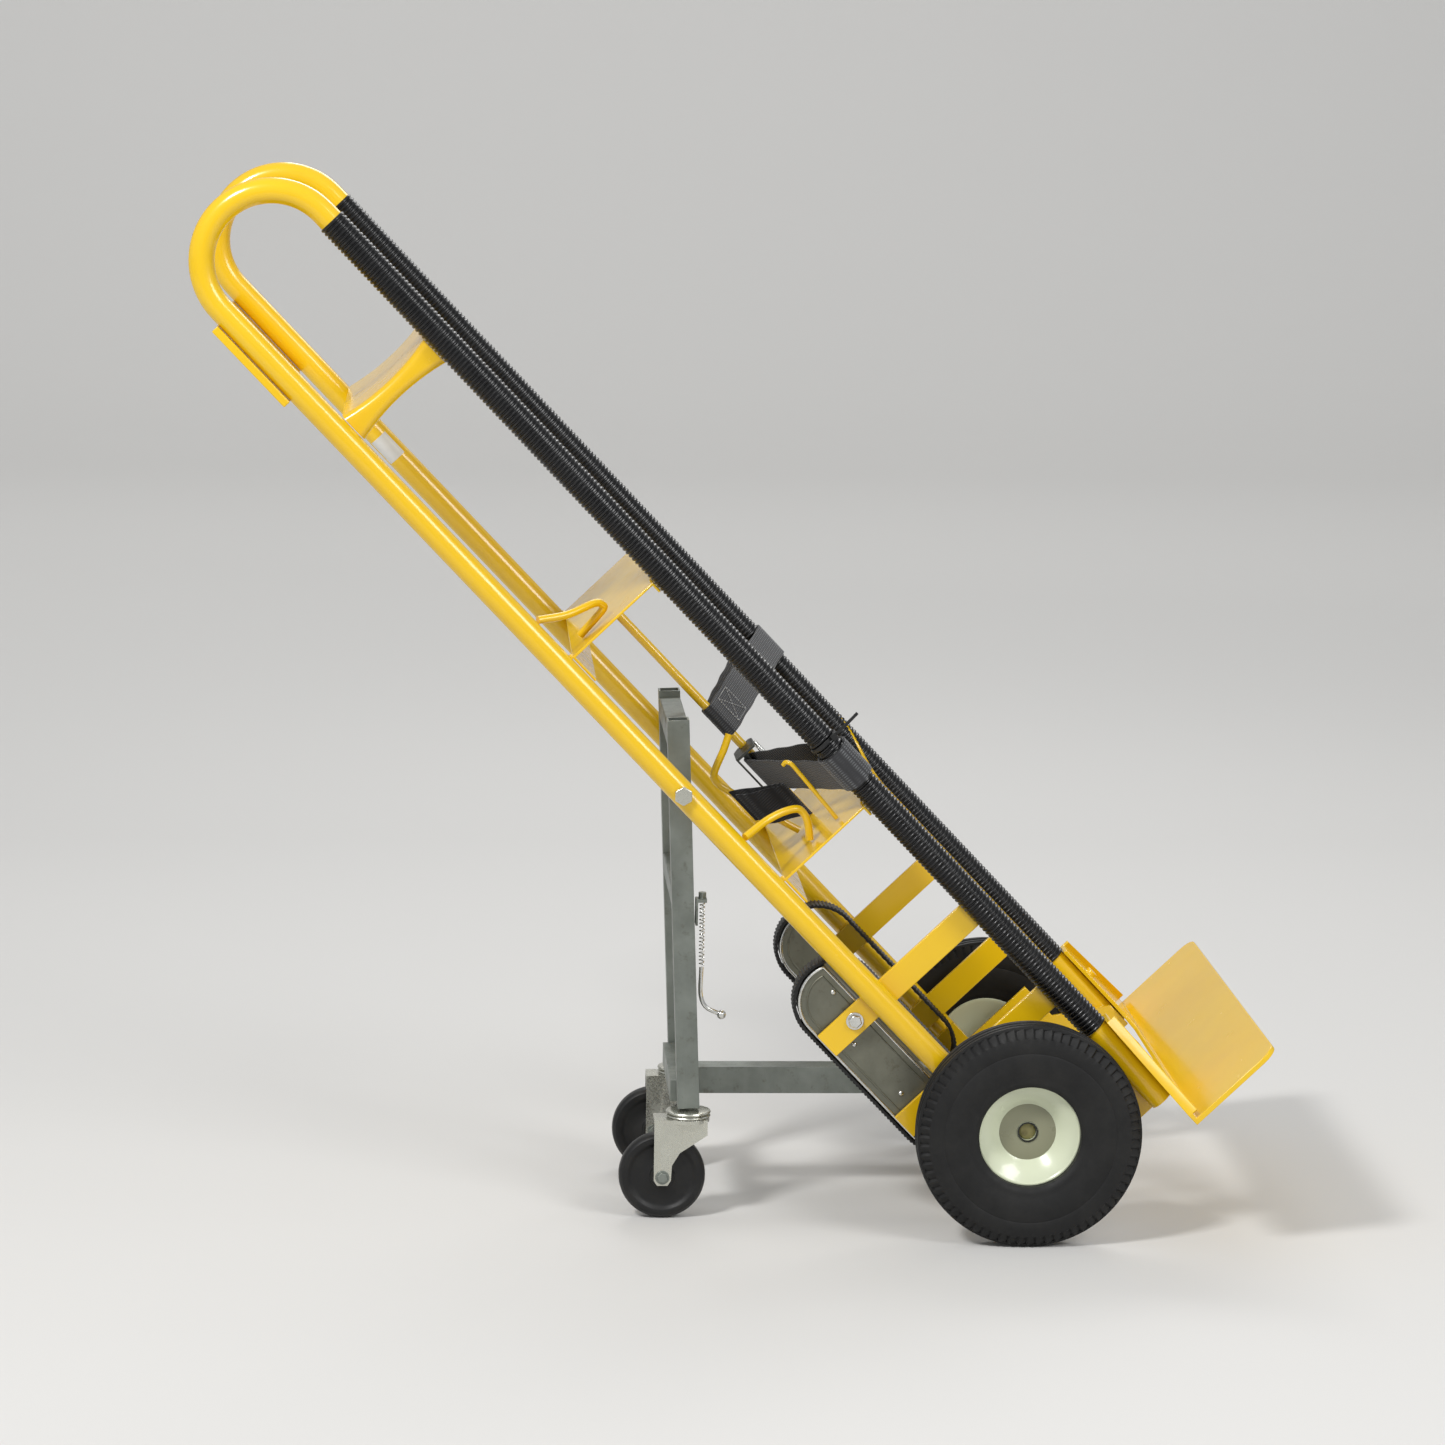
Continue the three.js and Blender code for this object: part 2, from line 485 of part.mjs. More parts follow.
// the loose end of the strap hangs folded on itself above the lower cross member
const TAIL_LINE = [[8, -68], [26, -72], [44, -80], [60, -90], [62, -98], [46, -104], [28, -104], [14, -98]];
const TAIL_U = 481;
const TAIL_SLOPE = -0.6;
const TAIL_HALF_WIDTH = 24;
const tailOutline = (() => {
  const curve = new THREE.CatmullRomCurve3(TAIL_LINE.map(([w, y]) => new THREE.Vector3(w, y, 0)));
  const edge = (sign) => Array.from({ length: 25 }, (_, i) => {
    const p = curve.getPoint(i / 24);
    const t = curve.getTangent(i / 24);
    return [p.x - sign * t.y * WEB / 2, p.y + sign * t.x * WEB / 2];
  });
  return [...edge(-1), ...edge(1).reverse()];
})();
const tailShear = new THREE.Matrix4().set(1, 0, 0, 0, 0, 1, 0, 0, TAIL_SLOPE, 0, 1, 0, 0, 0, 0, 1);
addTipped("strap_tail",
  plateZ(tailOutline, TAIL_U - TAIL_HALF_WIDTH, TAIL_U + TAIL_HALF_WIDTH).applyMatrix4(tailShear), WEBBING);

const TIE_U = 486;
const tieRing = plateZ(arc(0, 0, 18.2, 0, 345, 23), TIE_U, TIE_U + 4.6, [arc(0, 0, 16.6, 0, 345, 23)]);
addTipped("cable_tie", join(
  tieRing, box(10, 17, -21, -13.5, TIE_U - 1, TIE_U + 5.6),
  box(16, 52, -18.4, -17.2, TIE_U + 0.3, TIE_U + 4.3),
).translate(FRONT_W, -FRAME_Y, 0), BLACK_PLASTIC);

// ---- the origin goes to the middle of the footprint, on the floor ------------------------------
const bounds = new THREE.Box3().setFromObject(truck);
const middle = bounds.getCenter(new THREE.Vector3());
for (const mesh of truck.children) {
  mesh.geometry.translate(-middle.x, -middle.y, -bounds.min.z);
}

export default truck;
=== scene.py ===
"""Looks for a tipped-back stair-climbing hand truck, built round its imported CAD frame.

Lengths are in millimetres unless a name says otherwise, and MM turns them into metres.
The truck's own axes are w forward from the rails, y to its left and u up the rails, with the wheel
axle at the origin; tip() turns them into the frame's axes. The stand is placed by x, y, z from the axle.
"""
import math
import random

import bmesh
import bpy
from mathutils import Matrix, Vector


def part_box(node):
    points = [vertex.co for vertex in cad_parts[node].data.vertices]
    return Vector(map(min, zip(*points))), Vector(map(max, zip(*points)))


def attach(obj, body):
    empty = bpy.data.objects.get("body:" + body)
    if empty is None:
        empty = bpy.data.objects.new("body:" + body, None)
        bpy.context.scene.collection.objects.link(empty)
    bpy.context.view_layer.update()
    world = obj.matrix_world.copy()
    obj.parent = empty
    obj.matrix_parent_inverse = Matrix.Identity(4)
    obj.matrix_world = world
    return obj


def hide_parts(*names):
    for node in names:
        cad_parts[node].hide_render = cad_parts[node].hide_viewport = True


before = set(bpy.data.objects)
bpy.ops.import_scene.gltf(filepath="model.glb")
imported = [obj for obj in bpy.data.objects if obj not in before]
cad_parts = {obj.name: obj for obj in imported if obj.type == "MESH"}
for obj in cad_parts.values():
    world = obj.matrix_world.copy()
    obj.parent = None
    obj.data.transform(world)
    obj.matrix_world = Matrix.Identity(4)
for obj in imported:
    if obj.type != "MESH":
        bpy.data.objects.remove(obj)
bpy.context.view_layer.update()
random.seed(7)

# ---- driving dimensions ---------------------------------------------------------------------
MM = 0.001
LEAN = math.radians(43.8)
TUBE_R = 14.5
FRAME_Y = 193
REAR_W = -21
RAIL_SPACING = 157
FRONT_W = REAR_W + RAIL_SPACING
LOOP_U = 1308
FRONT_RAIL_BOTTOM = -88
REAR_RAIL_BOTTOM = 36
SLEEVE_R = 16.3
SLEEVE_BOTTOM = 28
SLEEVE_TOP = 1300
SLEEVE_BORE_R = 14.6
RIB_PITCH = 5.2
RIB_HEIGHT = 1.5
SLEEVE_SIDES = 36
SLIT_HALF_ANGLE = math.radians(7)
SLIT_FACING = 108
SLIT_TWIST = 175
SLIT_TWIST_U = 330
SLIT_TWIST_LENGTH = 190
TOP_MEMBER_U = 1112
TOP_MEMBER_REAR_W = -5.8
TOP_MEMBER_FRONT_W = 119.1
TOP_MEMBER_END_Y = 189.8
TOP_MEMBER_CORNER_R = 9.0
TOP_MEMBER_HALF_MIDDLE = 11
TOP_MEMBER_FLARE = 7
TOP_MEMBER_STEPS = 48
MIDDLE_MEMBER_U = 755
LOWER_MEMBER_U = 402
TIE_ROD_W = 53
AXLE_R = 9.5
AXLE_END_Y = 224
WHEEL_Y = 235
WHEEL_R = 130
TYRE_TEETH = 72
CLIMBER_W = -60
CLIMBER_TOP_U = 250
CLIMBER_BOTTOM_U = 75
UPPER_BAR_U = 222
LOWER_BAR_U = 90
BAR_HALF_HEIGHT = 16
BELT_R = 52.3
BELT_INNER_R = 47.6
BELT_INNER_Y = 140.2
BELT_OUTER_Y = 169.8
BELT_STEPS = 560
SKID_R = 46.5
SKID_FRONT_W = -42
LEG_Y = 112
CASTER_X = -384
CASTER_TRAIL = 30
CASTER_R = 50.8
SPRING_TURNS = 17
SPRING_COIL_R = 2.6
SPRING_WIRE_R = 0.75
SPRING_STEPS_PER_TURN = 16
WEB_THICKNESS = 2.2
WEB_SLOPE = 0.21
STRAP_TAIL_U = 481
STRAP_TAIL_HALF_WIDTH = 23.5
STRAP_TAIL_SLOPE = -0.6
BAND_U = 453.6
BAND_STEPS = 64
CABLE_TIE_STEPS = 48
LABEL_U = 1028
LABEL_LENGTH = 34
LABEL_ROWS = 12
LABEL_STEPS = 16
FLOOR_REACH_M = 30.0
FLOOR_RISE_M = 12.0
SIDES = (("right", -1), ("left", 1))

low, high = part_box("axle")
AXLE = (Vector(low) + Vector(high)) / 2
TIPPED = Matrix.Translation(AXLE) @ Matrix.Rotation(-LEAN, 4, "Y")


def tip(w, y, u):
    return TIPPED @ Vector((w * MM, y * MM, u * MM))


def ground(x, y, z):
    return AXLE + Vector((x * MM, y * MM, z * MM))


# ---- materials --------------------------------------------------------------------------------
class Nodes:
    """A small wrapper that makes and joins shader nodes."""

    def __init__(self, name):
        self.material = bpy.data.materials.new(name)
        self.material.use_nodes = True
        self.tree = self.material.node_tree
        self.shader = next(n for n in self.tree.nodes if n.type == "BSDF_PRINCIPLED")
        self.coordinates = self.add("ShaderNodeTexCoord").outputs["Object"]

    def add(self, kind, **settings):
        node = self.tree.nodes.new(kind)
        for key, value in settings.items():
            setattr(node, key, value)
        return node

    def link(self, source, target):
        self.tree.links.new(source, target)

    def mapped(self, rotation=(0, 0, 0), scale=(1, 1, 1)):
        node = self.add("ShaderNodeMapping")
        node.inputs["Rotation"].default_value = rotation
        node.inputs["Scale"].default_value = scale
        self.link(self.coordinates, node.inputs["Vector"])
        return node.outputs["Vector"]

    def noise(self, scale, detail=4.0, vector=None, roughness=0.55):
        node = self.add("ShaderNodeTexNoise")
        node.inputs["Scale"].default_value = scale
        node.inputs["Detail"].default_value = detail
        node.inputs["Roughness"].default_value = roughness
        self.link(vector or self.coordinates, node.inputs["Vector"])
        return node.outputs["Fac"]

    def ramp(self, factor, stops):
        node = self.add("ShaderNodeValToRGB")
        elements = node.color_ramp.elements
        while len(elements) < len(stops):
            elements.new(0.5)
        for element, (place, colour) in zip(elements, stops):
            element.position = place
            element.color = (*colour, 1) if len(colour) == 3 else colour
        self.link(factor, node.inputs["Fac"])
        return node.outputs["Color"]

    def levels(self, factor, low_in, high_in, low_out, high_out):
        node = self.add("ShaderNodeMapRange")
        ends = (("From Min", low_in), ("From Max", high_in), ("To Min", low_out), ("To Max", high_out))
        for key, value in ends:
            node.inputs[key].default_value = value
        self.link(factor, node.inputs["Value"])
        return node.outputs["Result"]

    def mix(self, factor, first, second):
        node = self.add("ShaderNodeMix", data_type="RGBA")
        self.link(factor, node.inputs["Factor"])
        for value, socket in ((first, node.inputs[6]), (second, node.inputs[7])):
            if isinstance(value, tuple):
                socket.default_value = (*value, 1)
            else:
                self.link(value, socket)
        return node.outputs[2]

    def math(self, operation, first, second):
        node = self.add("ShaderNodeMath", operation=operation)
        for value, socket in ((first, node.inputs[0]), (second, node.inputs[1])):
            if isinstance(value, (int, float)):
                socket.default_value = value
            else:
                self.link(value, socket)
        return node.outputs["Value"]

    def bump(self, height, distance, strength=1.0, normal=None):
        node = self.add("ShaderNodeBump")
        node.inputs["Distance"].default_value = distance
        node.inputs["Strength"].default_value = strength
        self.link(height, node.inputs["Height"])
        if normal:
            self.link(normal, node.inputs["Normal"])
        return node.outputs["Normal"]

    def finish(self, colour, roughness, normal, metallic=0.0, coat=0.0, specular=0.5, sheen=0.0):
        if isinstance(colour, tuple):
            self.shader.inputs["Base Color"].default_value = (*colour, 1)
        else:
            self.link(colour, self.shader.inputs["Base Color"])
        if isinstance(roughness, (int, float)):
            self.shader.inputs["Roughness"].default_value = roughness
        else:
            self.link(roughness, self.shader.inputs["Roughness"])
        self.link(normal, self.shader.inputs["Normal"])
        self.shader.inputs["Metallic"].default_value = metallic
        self.shader.inputs["Coat Weight"].default_value = coat
        self.shader.inputs["Coat Roughness"].default_value = 0.08
        self.shader.inputs["Specular IOR Level"].default_value = specular
        self.shader.inputs["Sheen Weight"].default_value = sheen
        return self.material


def enamel(name, colour, shade, chip, roughness, dust):
    """Gloss paint: slight colour drift, orange peel, dust and small scattered chips."""
    n = Nodes(name)
    drift = n.levels(n.noise(4, 3), 0.3, 0.7, 0, 1)
    base = n.mix(drift, colour, shade)
    specks = n.levels(n.noise(260, 4, roughness=0.6), 0.66, 0.74, 0, 0.25)
    base = n.mix(specks, base, dust)
    chips = n.levels(n.noise(70, 7, roughness=0.75), 0.70, 0.72, 0, 0.8)
    base = n.mix(chips, base, chip)
    rough = n.levels(n.noise(35, 4), 0.3, 0.75, roughness * 0.85, roughness * 1.3)
    fine = n.bump(n.noise(900, 2), 0.00004, 0.25)
    normal = n.bump(n.noise(60, 2), 0.00015, 0.12, fine)
    return n.finish(base, rough, normal, coat=0.35)


def plated(name, colour, shade, roughness, stain, metallic=0.85, streak=(1, 1, 1)):
    """Plated or bare steel: cloudy patches, fine scratches and a little staining."""
    n = Nodes(name)
    cloud = n.levels(n.noise(28, 6), 0.32, 0.7, 0, 1)
    base = n.mix(cloud, colour, shade)
    base = n.mix(n.levels(n.noise(75, 7, roughness=0.7), 0.57, 0.7, 0, 0.65), base, stain)
    scratch = n.noise(600, 3, n.mapped((0, -LEAN, 0), streak))
    rough = n.math("ADD", n.levels(n.noise(60, 5), 0.3, 0.7, roughness * 0.8, roughness * 1.25),
                   n.levels(scratch, 0.3, 0.7, -0.05, 0.07))
    normal = n.bump(scratch, 0.00006, 0.5, n.bump(n.noise(240, 3), 0.0001, 0.35))
    return n.finish(base, rough, normal, metallic)


def rubber(name, colour, dust, roughness, grain=700):
    """Rubber with a dusty bloom and fine grain."""
    n = Nodes(name)
    base = n.mix(n.levels(n.noise(22, 7, roughness=0.65), 0.45, 0.75, 0, 0.7), colour, dust)
    rough = n.levels(n.noise(55, 5), 0.3, 0.7, roughness - 0.08, roughness + 0.1)
    normal = n.bump(n.noise(grain, 4), 0.00012, 0.6)
    return n.finish(base, rough, normal, specular=0.4)


def webbing(name, colour, shade, dark):
    """Coarse plain-woven strap: ribs across the strap crossed by warp lines along its edge direction."""
    n = Nodes(name)
    vector = n.mapped((0, LEAN, 0))
    across = n.add("ShaderNodeTexWave", bands_direction="Z", wave_profile="SIN")
    across.inputs["Scale"].default_value = 110
    across.inputs["Distortion"].default_value = 0.6
    along = n.add("ShaderNodeTexWave", bands_direction="Y", wave_profile="SIN")
    along.inputs["Scale"].default_value = 90
    along.inputs["Distortion"].default_value = 0.8
    n.link(vector, across.inputs["Vector"])
    n.link(vector, along.inputs["Vector"])
    weave = n.math("MULTIPLY", across.outputs["Fac"], along.outputs["Fac"])
    base = n.mix(weave, dark, n.mix(n.levels(n.noise(40, 5), 0.35, 0.7, 0, 1), colour, shade))
    fuzz = n.bump(n.noise(1500, 3), 0.0001, 0.5)
    return n.finish(base, 0.9, n.bump(weave, 0.0006, 0.9, fuzz), specular=0.2, sheen=0.3)


def sleeve_plastic(name):
    """Shiny black plastic with dust in patches."""
    n = Nodes(name)
    dust = n.levels(n.noise(30, 6, roughness=0.7), 0.55, 0.8, 0, 0.3)
    base = n.mix(dust, (0.003, 0.003, 0.0035), (0.010, 0.010, 0.0095))
    rough = n.levels(n.noise(45, 5), 0.3, 0.7, 0.22, 0.36)
    return n.finish(base, rough, n.bump(n.noise(500, 3), 0.00008, 0.4), specular=0.5)


YELLOW = enamel("yellow_enamel", (0.80, 0.51, 0.006), (0.74, 0.45, 0.004), (0.35, 0.21, 0.02), 0.22,
                (0.62, 0.38, 0.02))
CREAM = enamel("cream_enamel", (0.72, 0.76, 0.56), (0.64, 0.68, 0.50), (0.35, 0.34, 0.26), 0.22,
               (0.5, 0.5, 0.4))
# Painted shade: a darkened copy of the cream paint, standing in for the shade that falls inside the wheel's
# dish.
HUB_DISC_PAINTED_SHADE = enamel("hub_disc_painted_shade", (0.30, 0.30, 0.19), (0.24, 0.24, 0.15), (0.15, 0.14, 0.09), 0.3,
                  (0.2, 0.2, 0.13))
ZINC = plated("zinc_plate", (0.24, 0.26, 0.235), (0.17, 0.185, 0.165), 0.42, (0.12, 0.12, 0.095), 0.7,
              (1, 1, 0.08))
STAMPED = plated("stamped_zinc", (0.60, 0.60, 0.53), (0.53, 0.53, 0.47), 0.26, (0.46, 0.45, 0.39), 0.9)
SKID = plated("skid_plate", (0.21, 0.21, 0.165), (0.16, 0.16, 0.125), 0.4, (0.11, 0.10, 0.07), 0.8)
BRIGHT = plated("bright_plate", (0.75, 0.75, 0.72), (0.6, 0.6, 0.57), 0.22, (0.4, 0.38, 0.33), 1.0)
DARK_STEEL = plated("dark_plate", (0.09, 0.095, 0.09), (0.05, 0.055, 0.05), 0.4, (0.04, 0.035, 0.03), 0.8)
AXLE_STEEL = plated("olive_passivate", (0.30, 0.27, 0.12), (0.22, 0.20, 0.09), 0.4, (0.12, 0.10, 0.05), 0.8)
TYRE = rubber("tyre_rubber", (0.004, 0.004, 0.004), (0.014, 0.0135, 0.012), 0.62)
BELT = rubber("belt_rubber", (0.005, 0.005, 0.005), (0.02, 0.019, 0.016), 0.5)
CASTER = rubber("caster_rubber", (0.005, 0.005, 0.005), (0.022, 0.021, 0.018), 0.45)
GREY_WEB = webbing("grey_webbing", (0.16, 0.165, 0.17), (0.10, 0.105, 0.11), (0.03, 0.03, 0.032))
# Painted shade: a darkened copy of the grey strap webbing, standing in for the shade on the right strap's
# loop and its folded tail.
WEB_PAINTED_SHADE = webbing("dark_webbing", (0.035, 0.036, 0.04), (0.02, 0.021, 0.024), (0.006, 0.006, 0.007))
SLEEVE = sleeve_plastic("sleeve_plastic")
NYLON = rubber("nylon", (0.01, 0.01, 0.01), (0.03, 0.03, 0.03), 0.42, 300)
THREAD = webbing("white_thread", (0.7, 0.7, 0.68), (0.55, 0.55, 0.53), (0.3, 0.3, 0.3))
LABEL = rubber("blank_label", (0.62, 0.62, 0.60), (0.5, 0.5, 0.47), 0.4, 200)


# ---- mesh helpers -----------------------------------------------------------------------------
def piece(name, verts, faces, body, slot, material, nodes=(), bevel=0.0, flat=30.0, segments=3):
    """Makes a mesh piece, rides it on its body and hides the CAD nodes it stands for."""
    mesh = bpy.data.meshes.new(name)
    mesh.from_pydata([tuple(v) for v in verts], [], faces)
    mesh.validate()
    obj = bpy.data.objects.new(name, mesh)
    bpy.context.scene.collection.objects.link(obj)
    solid = bmesh.new()
    solid.from_mesh(mesh)
    bmesh.ops.remove_doubles(solid, verts=solid.verts, dist=0.000002)
    bmesh.ops.recalc_face_normals(solid, faces=solid.faces)
    solid.to_mesh(mesh)
    solid.free()
    dress(obj, material, bevel, flat, segments)
    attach(obj, body)
    if nodes:
        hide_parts(*nodes)
    return obj


def dress(obj, material, bevel, flat, segments):
    """Gives a piece its material, its rounded edges and smooth shading."""
    obj.data.materials.clear()
    obj.data.materials.append(material)
    if bevel:
        rounding = obj.modifiers.new("rounding", "BEVEL")
        rounding.width = bevel * MM
        rounding.segments = segments
        rounding.limit_method = "ANGLE"
        rounding.angle_limit = math.radians(flat)
        rounding.harden_normals = False
    for polygon in obj.data.polygons:
        polygon.use_smooth = True
    bpy.context.view_layer.objects.active = obj
    obj.select_set(True)
    bpy.ops.object.shade_smooth_by_angle(angle=math.radians(35))
    obj.select_set(False)


def refined(node, body, material, bevel=0.8, segments=3):
    """A cleaned copy of a CAD node, with rounded edges."""
    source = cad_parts[node]
    mesh = source.data.copy()
    obj = bpy.data.objects.new(node + "_finished", mesh)
    bpy.context.scene.collection.objects.link(obj)
    solid = bmesh.new()
    solid.from_mesh(mesh)
    bmesh.ops.remove_doubles(solid, verts=solid.verts, dist=0.00002)
    bmesh.ops.dissolve_limit(solid, angle_limit=math.radians(1.5), verts=solid.verts, edges=solid.edges)
    bmesh.ops.recalc_face_normals(solid, faces=solid.faces)
    solid.to_mesh(mesh)
    solid.free()
    dress(obj, material, bevel, 28.0, segments)
    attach(obj, body)
    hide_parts(node)
    return obj


def rings_to_faces(count, sides, closed=False):
    """The faces between rings of points that follow each other."""
    faces = []
    for i in range(count if closed else count - 1):
        j = (i + 1) % count
        for k in range(sides):
            m = (k + 1) % sides
            faces.append((i * sides + k, i * sides + m, j * sides + m, j * sides + k))
    return faces


def tube(points, radius, sides=20, closed=False, start=Vector((0.31, 0.83, 0.47))):
    """A round bar through world points; radius may be one number or one per point. Millimetres."""
    count = len(points)
    radii = [radius] * count if isinstance(radius, (int, float)) else radius
    normal = start.copy()
    verts = []
    for i, centre in enumerate(points):
        before = points[(i - 1) % count] if closed or i else centre
        after = points[(i + 1) % count] if closed or i + 1 < count else centre
        along = ((after - centre).normalized() + (centre - before).normalized()).normalized()
        normal = (normal - along * normal.dot(along)).normalized()
        side = along.cross(normal)
        for k in range(sides):
            angle = math.tau * k / sides
            verts.append(centre + (normal * math.cos(angle) + side * math.sin(angle)) * radii[i] * MM)
    faces = rings_to_faces(count, sides, closed)
    if not closed:
        faces.append(tuple(range(sides - 1, -1, -1)))
        faces.append(tuple((count - 1) * sides + k for k in range(sides)))
    return verts, faces


def merged(*parts):
    """Joins several lots of points and faces into one."""
    verts = []
    faces = []
    for more_verts, more_faces in parts:
        offset = len(verts)
        verts += list(more_verts)
        faces += [tuple(i + offset for i in face) for face in more_faces]
    return verts, faces


def turned(profile, segments, place, closed=True, shift=None):
    """Turns a profile of (radius, offset along Y) about a line along Y.

    place(x, y, z) gives the world point, and shift may move a profile point on its way round.
    """
    verts = []
    for k in range(segments):
        angle = math.tau * k / segments
        for index, (r, t) in enumerate(profile):
            if shift:
                r, t = shift(k, index, r, t)
            verts.append(place(r * math.cos(angle), t, r * math.sin(angle)))
    size = len(profile)
    faces = []
    for k in range(segments):
        m = (k + 1) % segments
        for i in range(size if closed else size - 1):
            j = (i + 1) % size
            faces.append((k * size + i, k * size + j, m * size + j, m * size + i))
    return verts, faces


def prism(outline, lower, upper, place):
    """A plate from an outline of 2-D points between two levels; place(a, b, level) gives the world point."""
    count = len(outline)
    verts = [place(a, b, lower) for a, b in outline] + [place(a, b, upper) for a, b in outline]
    faces = [tuple(range(count - 1, -1, -1)), tuple(range(count, 2 * count))]
    faces += [(i, (i + 1) % count, count + (i + 1) % count, count + i) for i in range(count)]
    return verts, faces


def arc(cx, cy, radius, start, end, steps):
    """Points on an arc between two angles in degrees."""
    angles = [math.radians(start + (end - start) * i / steps) for i in range(steps + 1)]
    return [(cx + radius * math.cos(a), cy + radius * math.sin(a)) for a in angles]


def smooth_path(points, steps):
    """A Catmull-Rom curve through the points."""
    padded_points = [points[0] * 2 - points[1], *points, points[-1] * 2 - points[-2]]
    result = []
    for i in range(1, len(padded_points) - 2):
        a, b, c, d = padded_points[i - 1:i + 3]
        for k in range(steps):
            t = k / steps
            result.append(0.5 * (2 * b + (c - a) * t + (2 * a - 5 * b + 4 * c - d) * t * t
                                 + (3 * b - a - 3 * c + d) * t * t * t))
    result.append(points[-1])
    return result


def evenly_spaced(outline, count):
    """Points at even distances round a closed outline of 2-D points."""
    lengths = [0.0]
    for (a, b), (c, d) in zip(outline, outline[1:] + outline[:1]):
        lengths.append(lengths[-1] + math.hypot(c - a, d - b))
    result = []
    i = 0
    for k in range(count):
        want = lengths[-1] * k / count
        while lengths[i + 1] < want:
            i += 1
        a, b = outline[i]
        c, d = outline[(i + 1) % len(outline)]
        t = (want - lengths[i]) / max(lengths[i + 1] - lengths[i], 1e-9)
        result.append((a + (c - a) * t, b + (d - b) * t))
    return result


def hexagon_head(centre, axis, radius, thickness, body, slot, material, name):
    """A chamfered hexagon head with its washer, standing out along axis from centre."""
    axis = axis.normalized()
    normal = axis.orthogonal().normalized()
    side = axis.cross(normal)

    def ring(r, height, count):
        points = []
        for k in range(count):
            angle = math.tau * k / count
            outward = normal * math.cos(angle) + side * math.sin(angle)
            points.append(centre + axis * height * MM + outward * r * MM)
        return points

    washer = [ring(radius * 1.25, 0, 24), ring(radius * 1.25, 1.4, 24), ring(radius * 0.7, 1.5, 24)]
    head = [ring(radius, 1.4, 6), ring(radius, thickness * 0.8, 6), ring(radius * 0.86, thickness, 6)]
    shells = []
    for rings, count in ((washer, 24), (head, 6)):
        points = [point for one_ring in rings for point in one_ring]
        ends = [tuple(range(count - 1, -1, -1)), tuple(range(2 * count, 3 * count))]
        shells.append((points, rings_to_faces(3, count) + ends))
    verts, faces = merged(*shells)
    return piece(name, verts, faces, body, slot, material, bevel=0.3, segments=2)


# ---- camera -----------------------------------------------------------------------------------
camera_data = bpy.data.cameras.new("camera")
camera = bpy.data.objects.new("camera", camera_data)
bpy.context.scene.collection.objects.link(camera)
VIEW_FORWARD = Vector((0.0581, 0.9857, -0.1585)).normalized()
VIEW_DOWN = Vector((0.0056, -0.1591, -0.9873)).normalized()
VIEW_RIGHT = VIEW_DOWN.cross(VIEW_FORWARD).normalized()
VIEW_UP = VIEW_FORWARD.cross(VIEW_RIGHT) * -1
turn = Matrix((VIEW_RIGHT, VIEW_UP, -VIEW_FORWARD)).transposed().to_4x4()
camera.matrix_world = Matrix.Translation(ground(-670, -5529, 1326)) @ turn
camera_data.sensor_fit = "HORIZONTAL"
camera_data.sensor_width = 36
camera_data.lens = 118.95
camera_data.clip_end = 100
bpy.context.scene.camera = camera

# ---- side frames --------------------------------------------------------------------------------
loop_centre_w = REAR_W + RAIL_SPACING / 2
for label, side in SIDES:
    y = side * FRAME_Y
    path = [tip(FRONT_W, y, FRONT_RAIL_BOTTOM + 1396 * i / 40) for i in range(40)]
    path += [tip(w, y, u) for w, u in arc(loop_centre_w, LOOP_U, RAIL_SPACING / 2, 0, 180, 40)]
    path += [tip(REAR_W, y, LOOP_U - (LOOP_U - REAR_RAIL_BOTTOM) * i / 40) for i in range(1, 41)]
    verts, faces = tube(path, TUBE_R, 40)
    piece(f"{label}_frame_tube", verts, faces, "chassis", "yellow_paint", YELLOW,
          [f"{label}_front_rail", f"{label}_rear_rail", f"{label}_handle_loop"])

# ---- ribbed split sleeves -----------------------------------------------------------------------
RIB_SHAPE = ((0.0, 0.0), (0.10, 0.9), (0.25, RIB_HEIGHT), (0.55, RIB_HEIGHT), (0.70, 0.9), (0.82, 0.0))
for label, side in SIDES:
    y = side * FRAME_Y
    ribs = int((SLEEVE_TOP - SLEEVE_BOTTOM) / RIB_PITCH)
    levels = [(SLEEVE_BOTTOM + (i + place) * RIB_PITCH, SLEEVE_R - RIB_HEIGHT + rise)
              for i in range(ribs) for place, rise in RIB_SHAPE]
    count = SLEEVE_SIDES + 1

    def slit_angles(u, side=side):
        """Ring angles that leave the slit open; the left slit twists out of sight above the climbers."""
        twist = min(max((u - SLIT_TWIST_U) / SLIT_TWIST_LENGTH, 0.0), 1.0)
        eased = twist * twist * (3 - 2 * twist)
        towards = math.radians(SLIT_FACING if side < 0 else SLIT_TWIST * eased - SLIT_FACING)
        return [towards + SLIT_HALF_ANGLE + (math.tau - 2 * SLIT_HALF_ANGLE) * k / SLEEVE_SIDES
                for k in range(SLEEVE_SIDES + 1)]

    inside = [(levels[0][0], SLEEVE_BORE_R), (levels[-1][0], SLEEVE_BORE_R)]
    verts = [tip(FRONT_W + r * math.cos(a), y + r * math.sin(a), u)
             for u, r in levels + inside for a in slit_angles(u)]
    faces = [(i * count + k, i * count + k + 1, (i + 1) * count + k + 1, (i + 1) * count + k)
             for i in range(len(levels) - 1) for k in range(SLEEVE_SIDES)]
    last = (len(levels) - 1) * count
    bore_low = len(levels) * count
    bore_high = bore_low + count
    for k in range(SLEEVE_SIDES):
        faces.append((bore_low + k + 1, bore_low + k, bore_high + k, bore_high + k + 1))
        faces.append((k + 1, k, bore_low + k, bore_low + k + 1))
        faces.append((last + k, last + k + 1, bore_high + k + 1, bore_high + k))
    piece(f"{label}_ribbed_sleeve", verts, faces, "chassis", "sleeve_black", SLEEVE, [f"{label}_sleeve"])

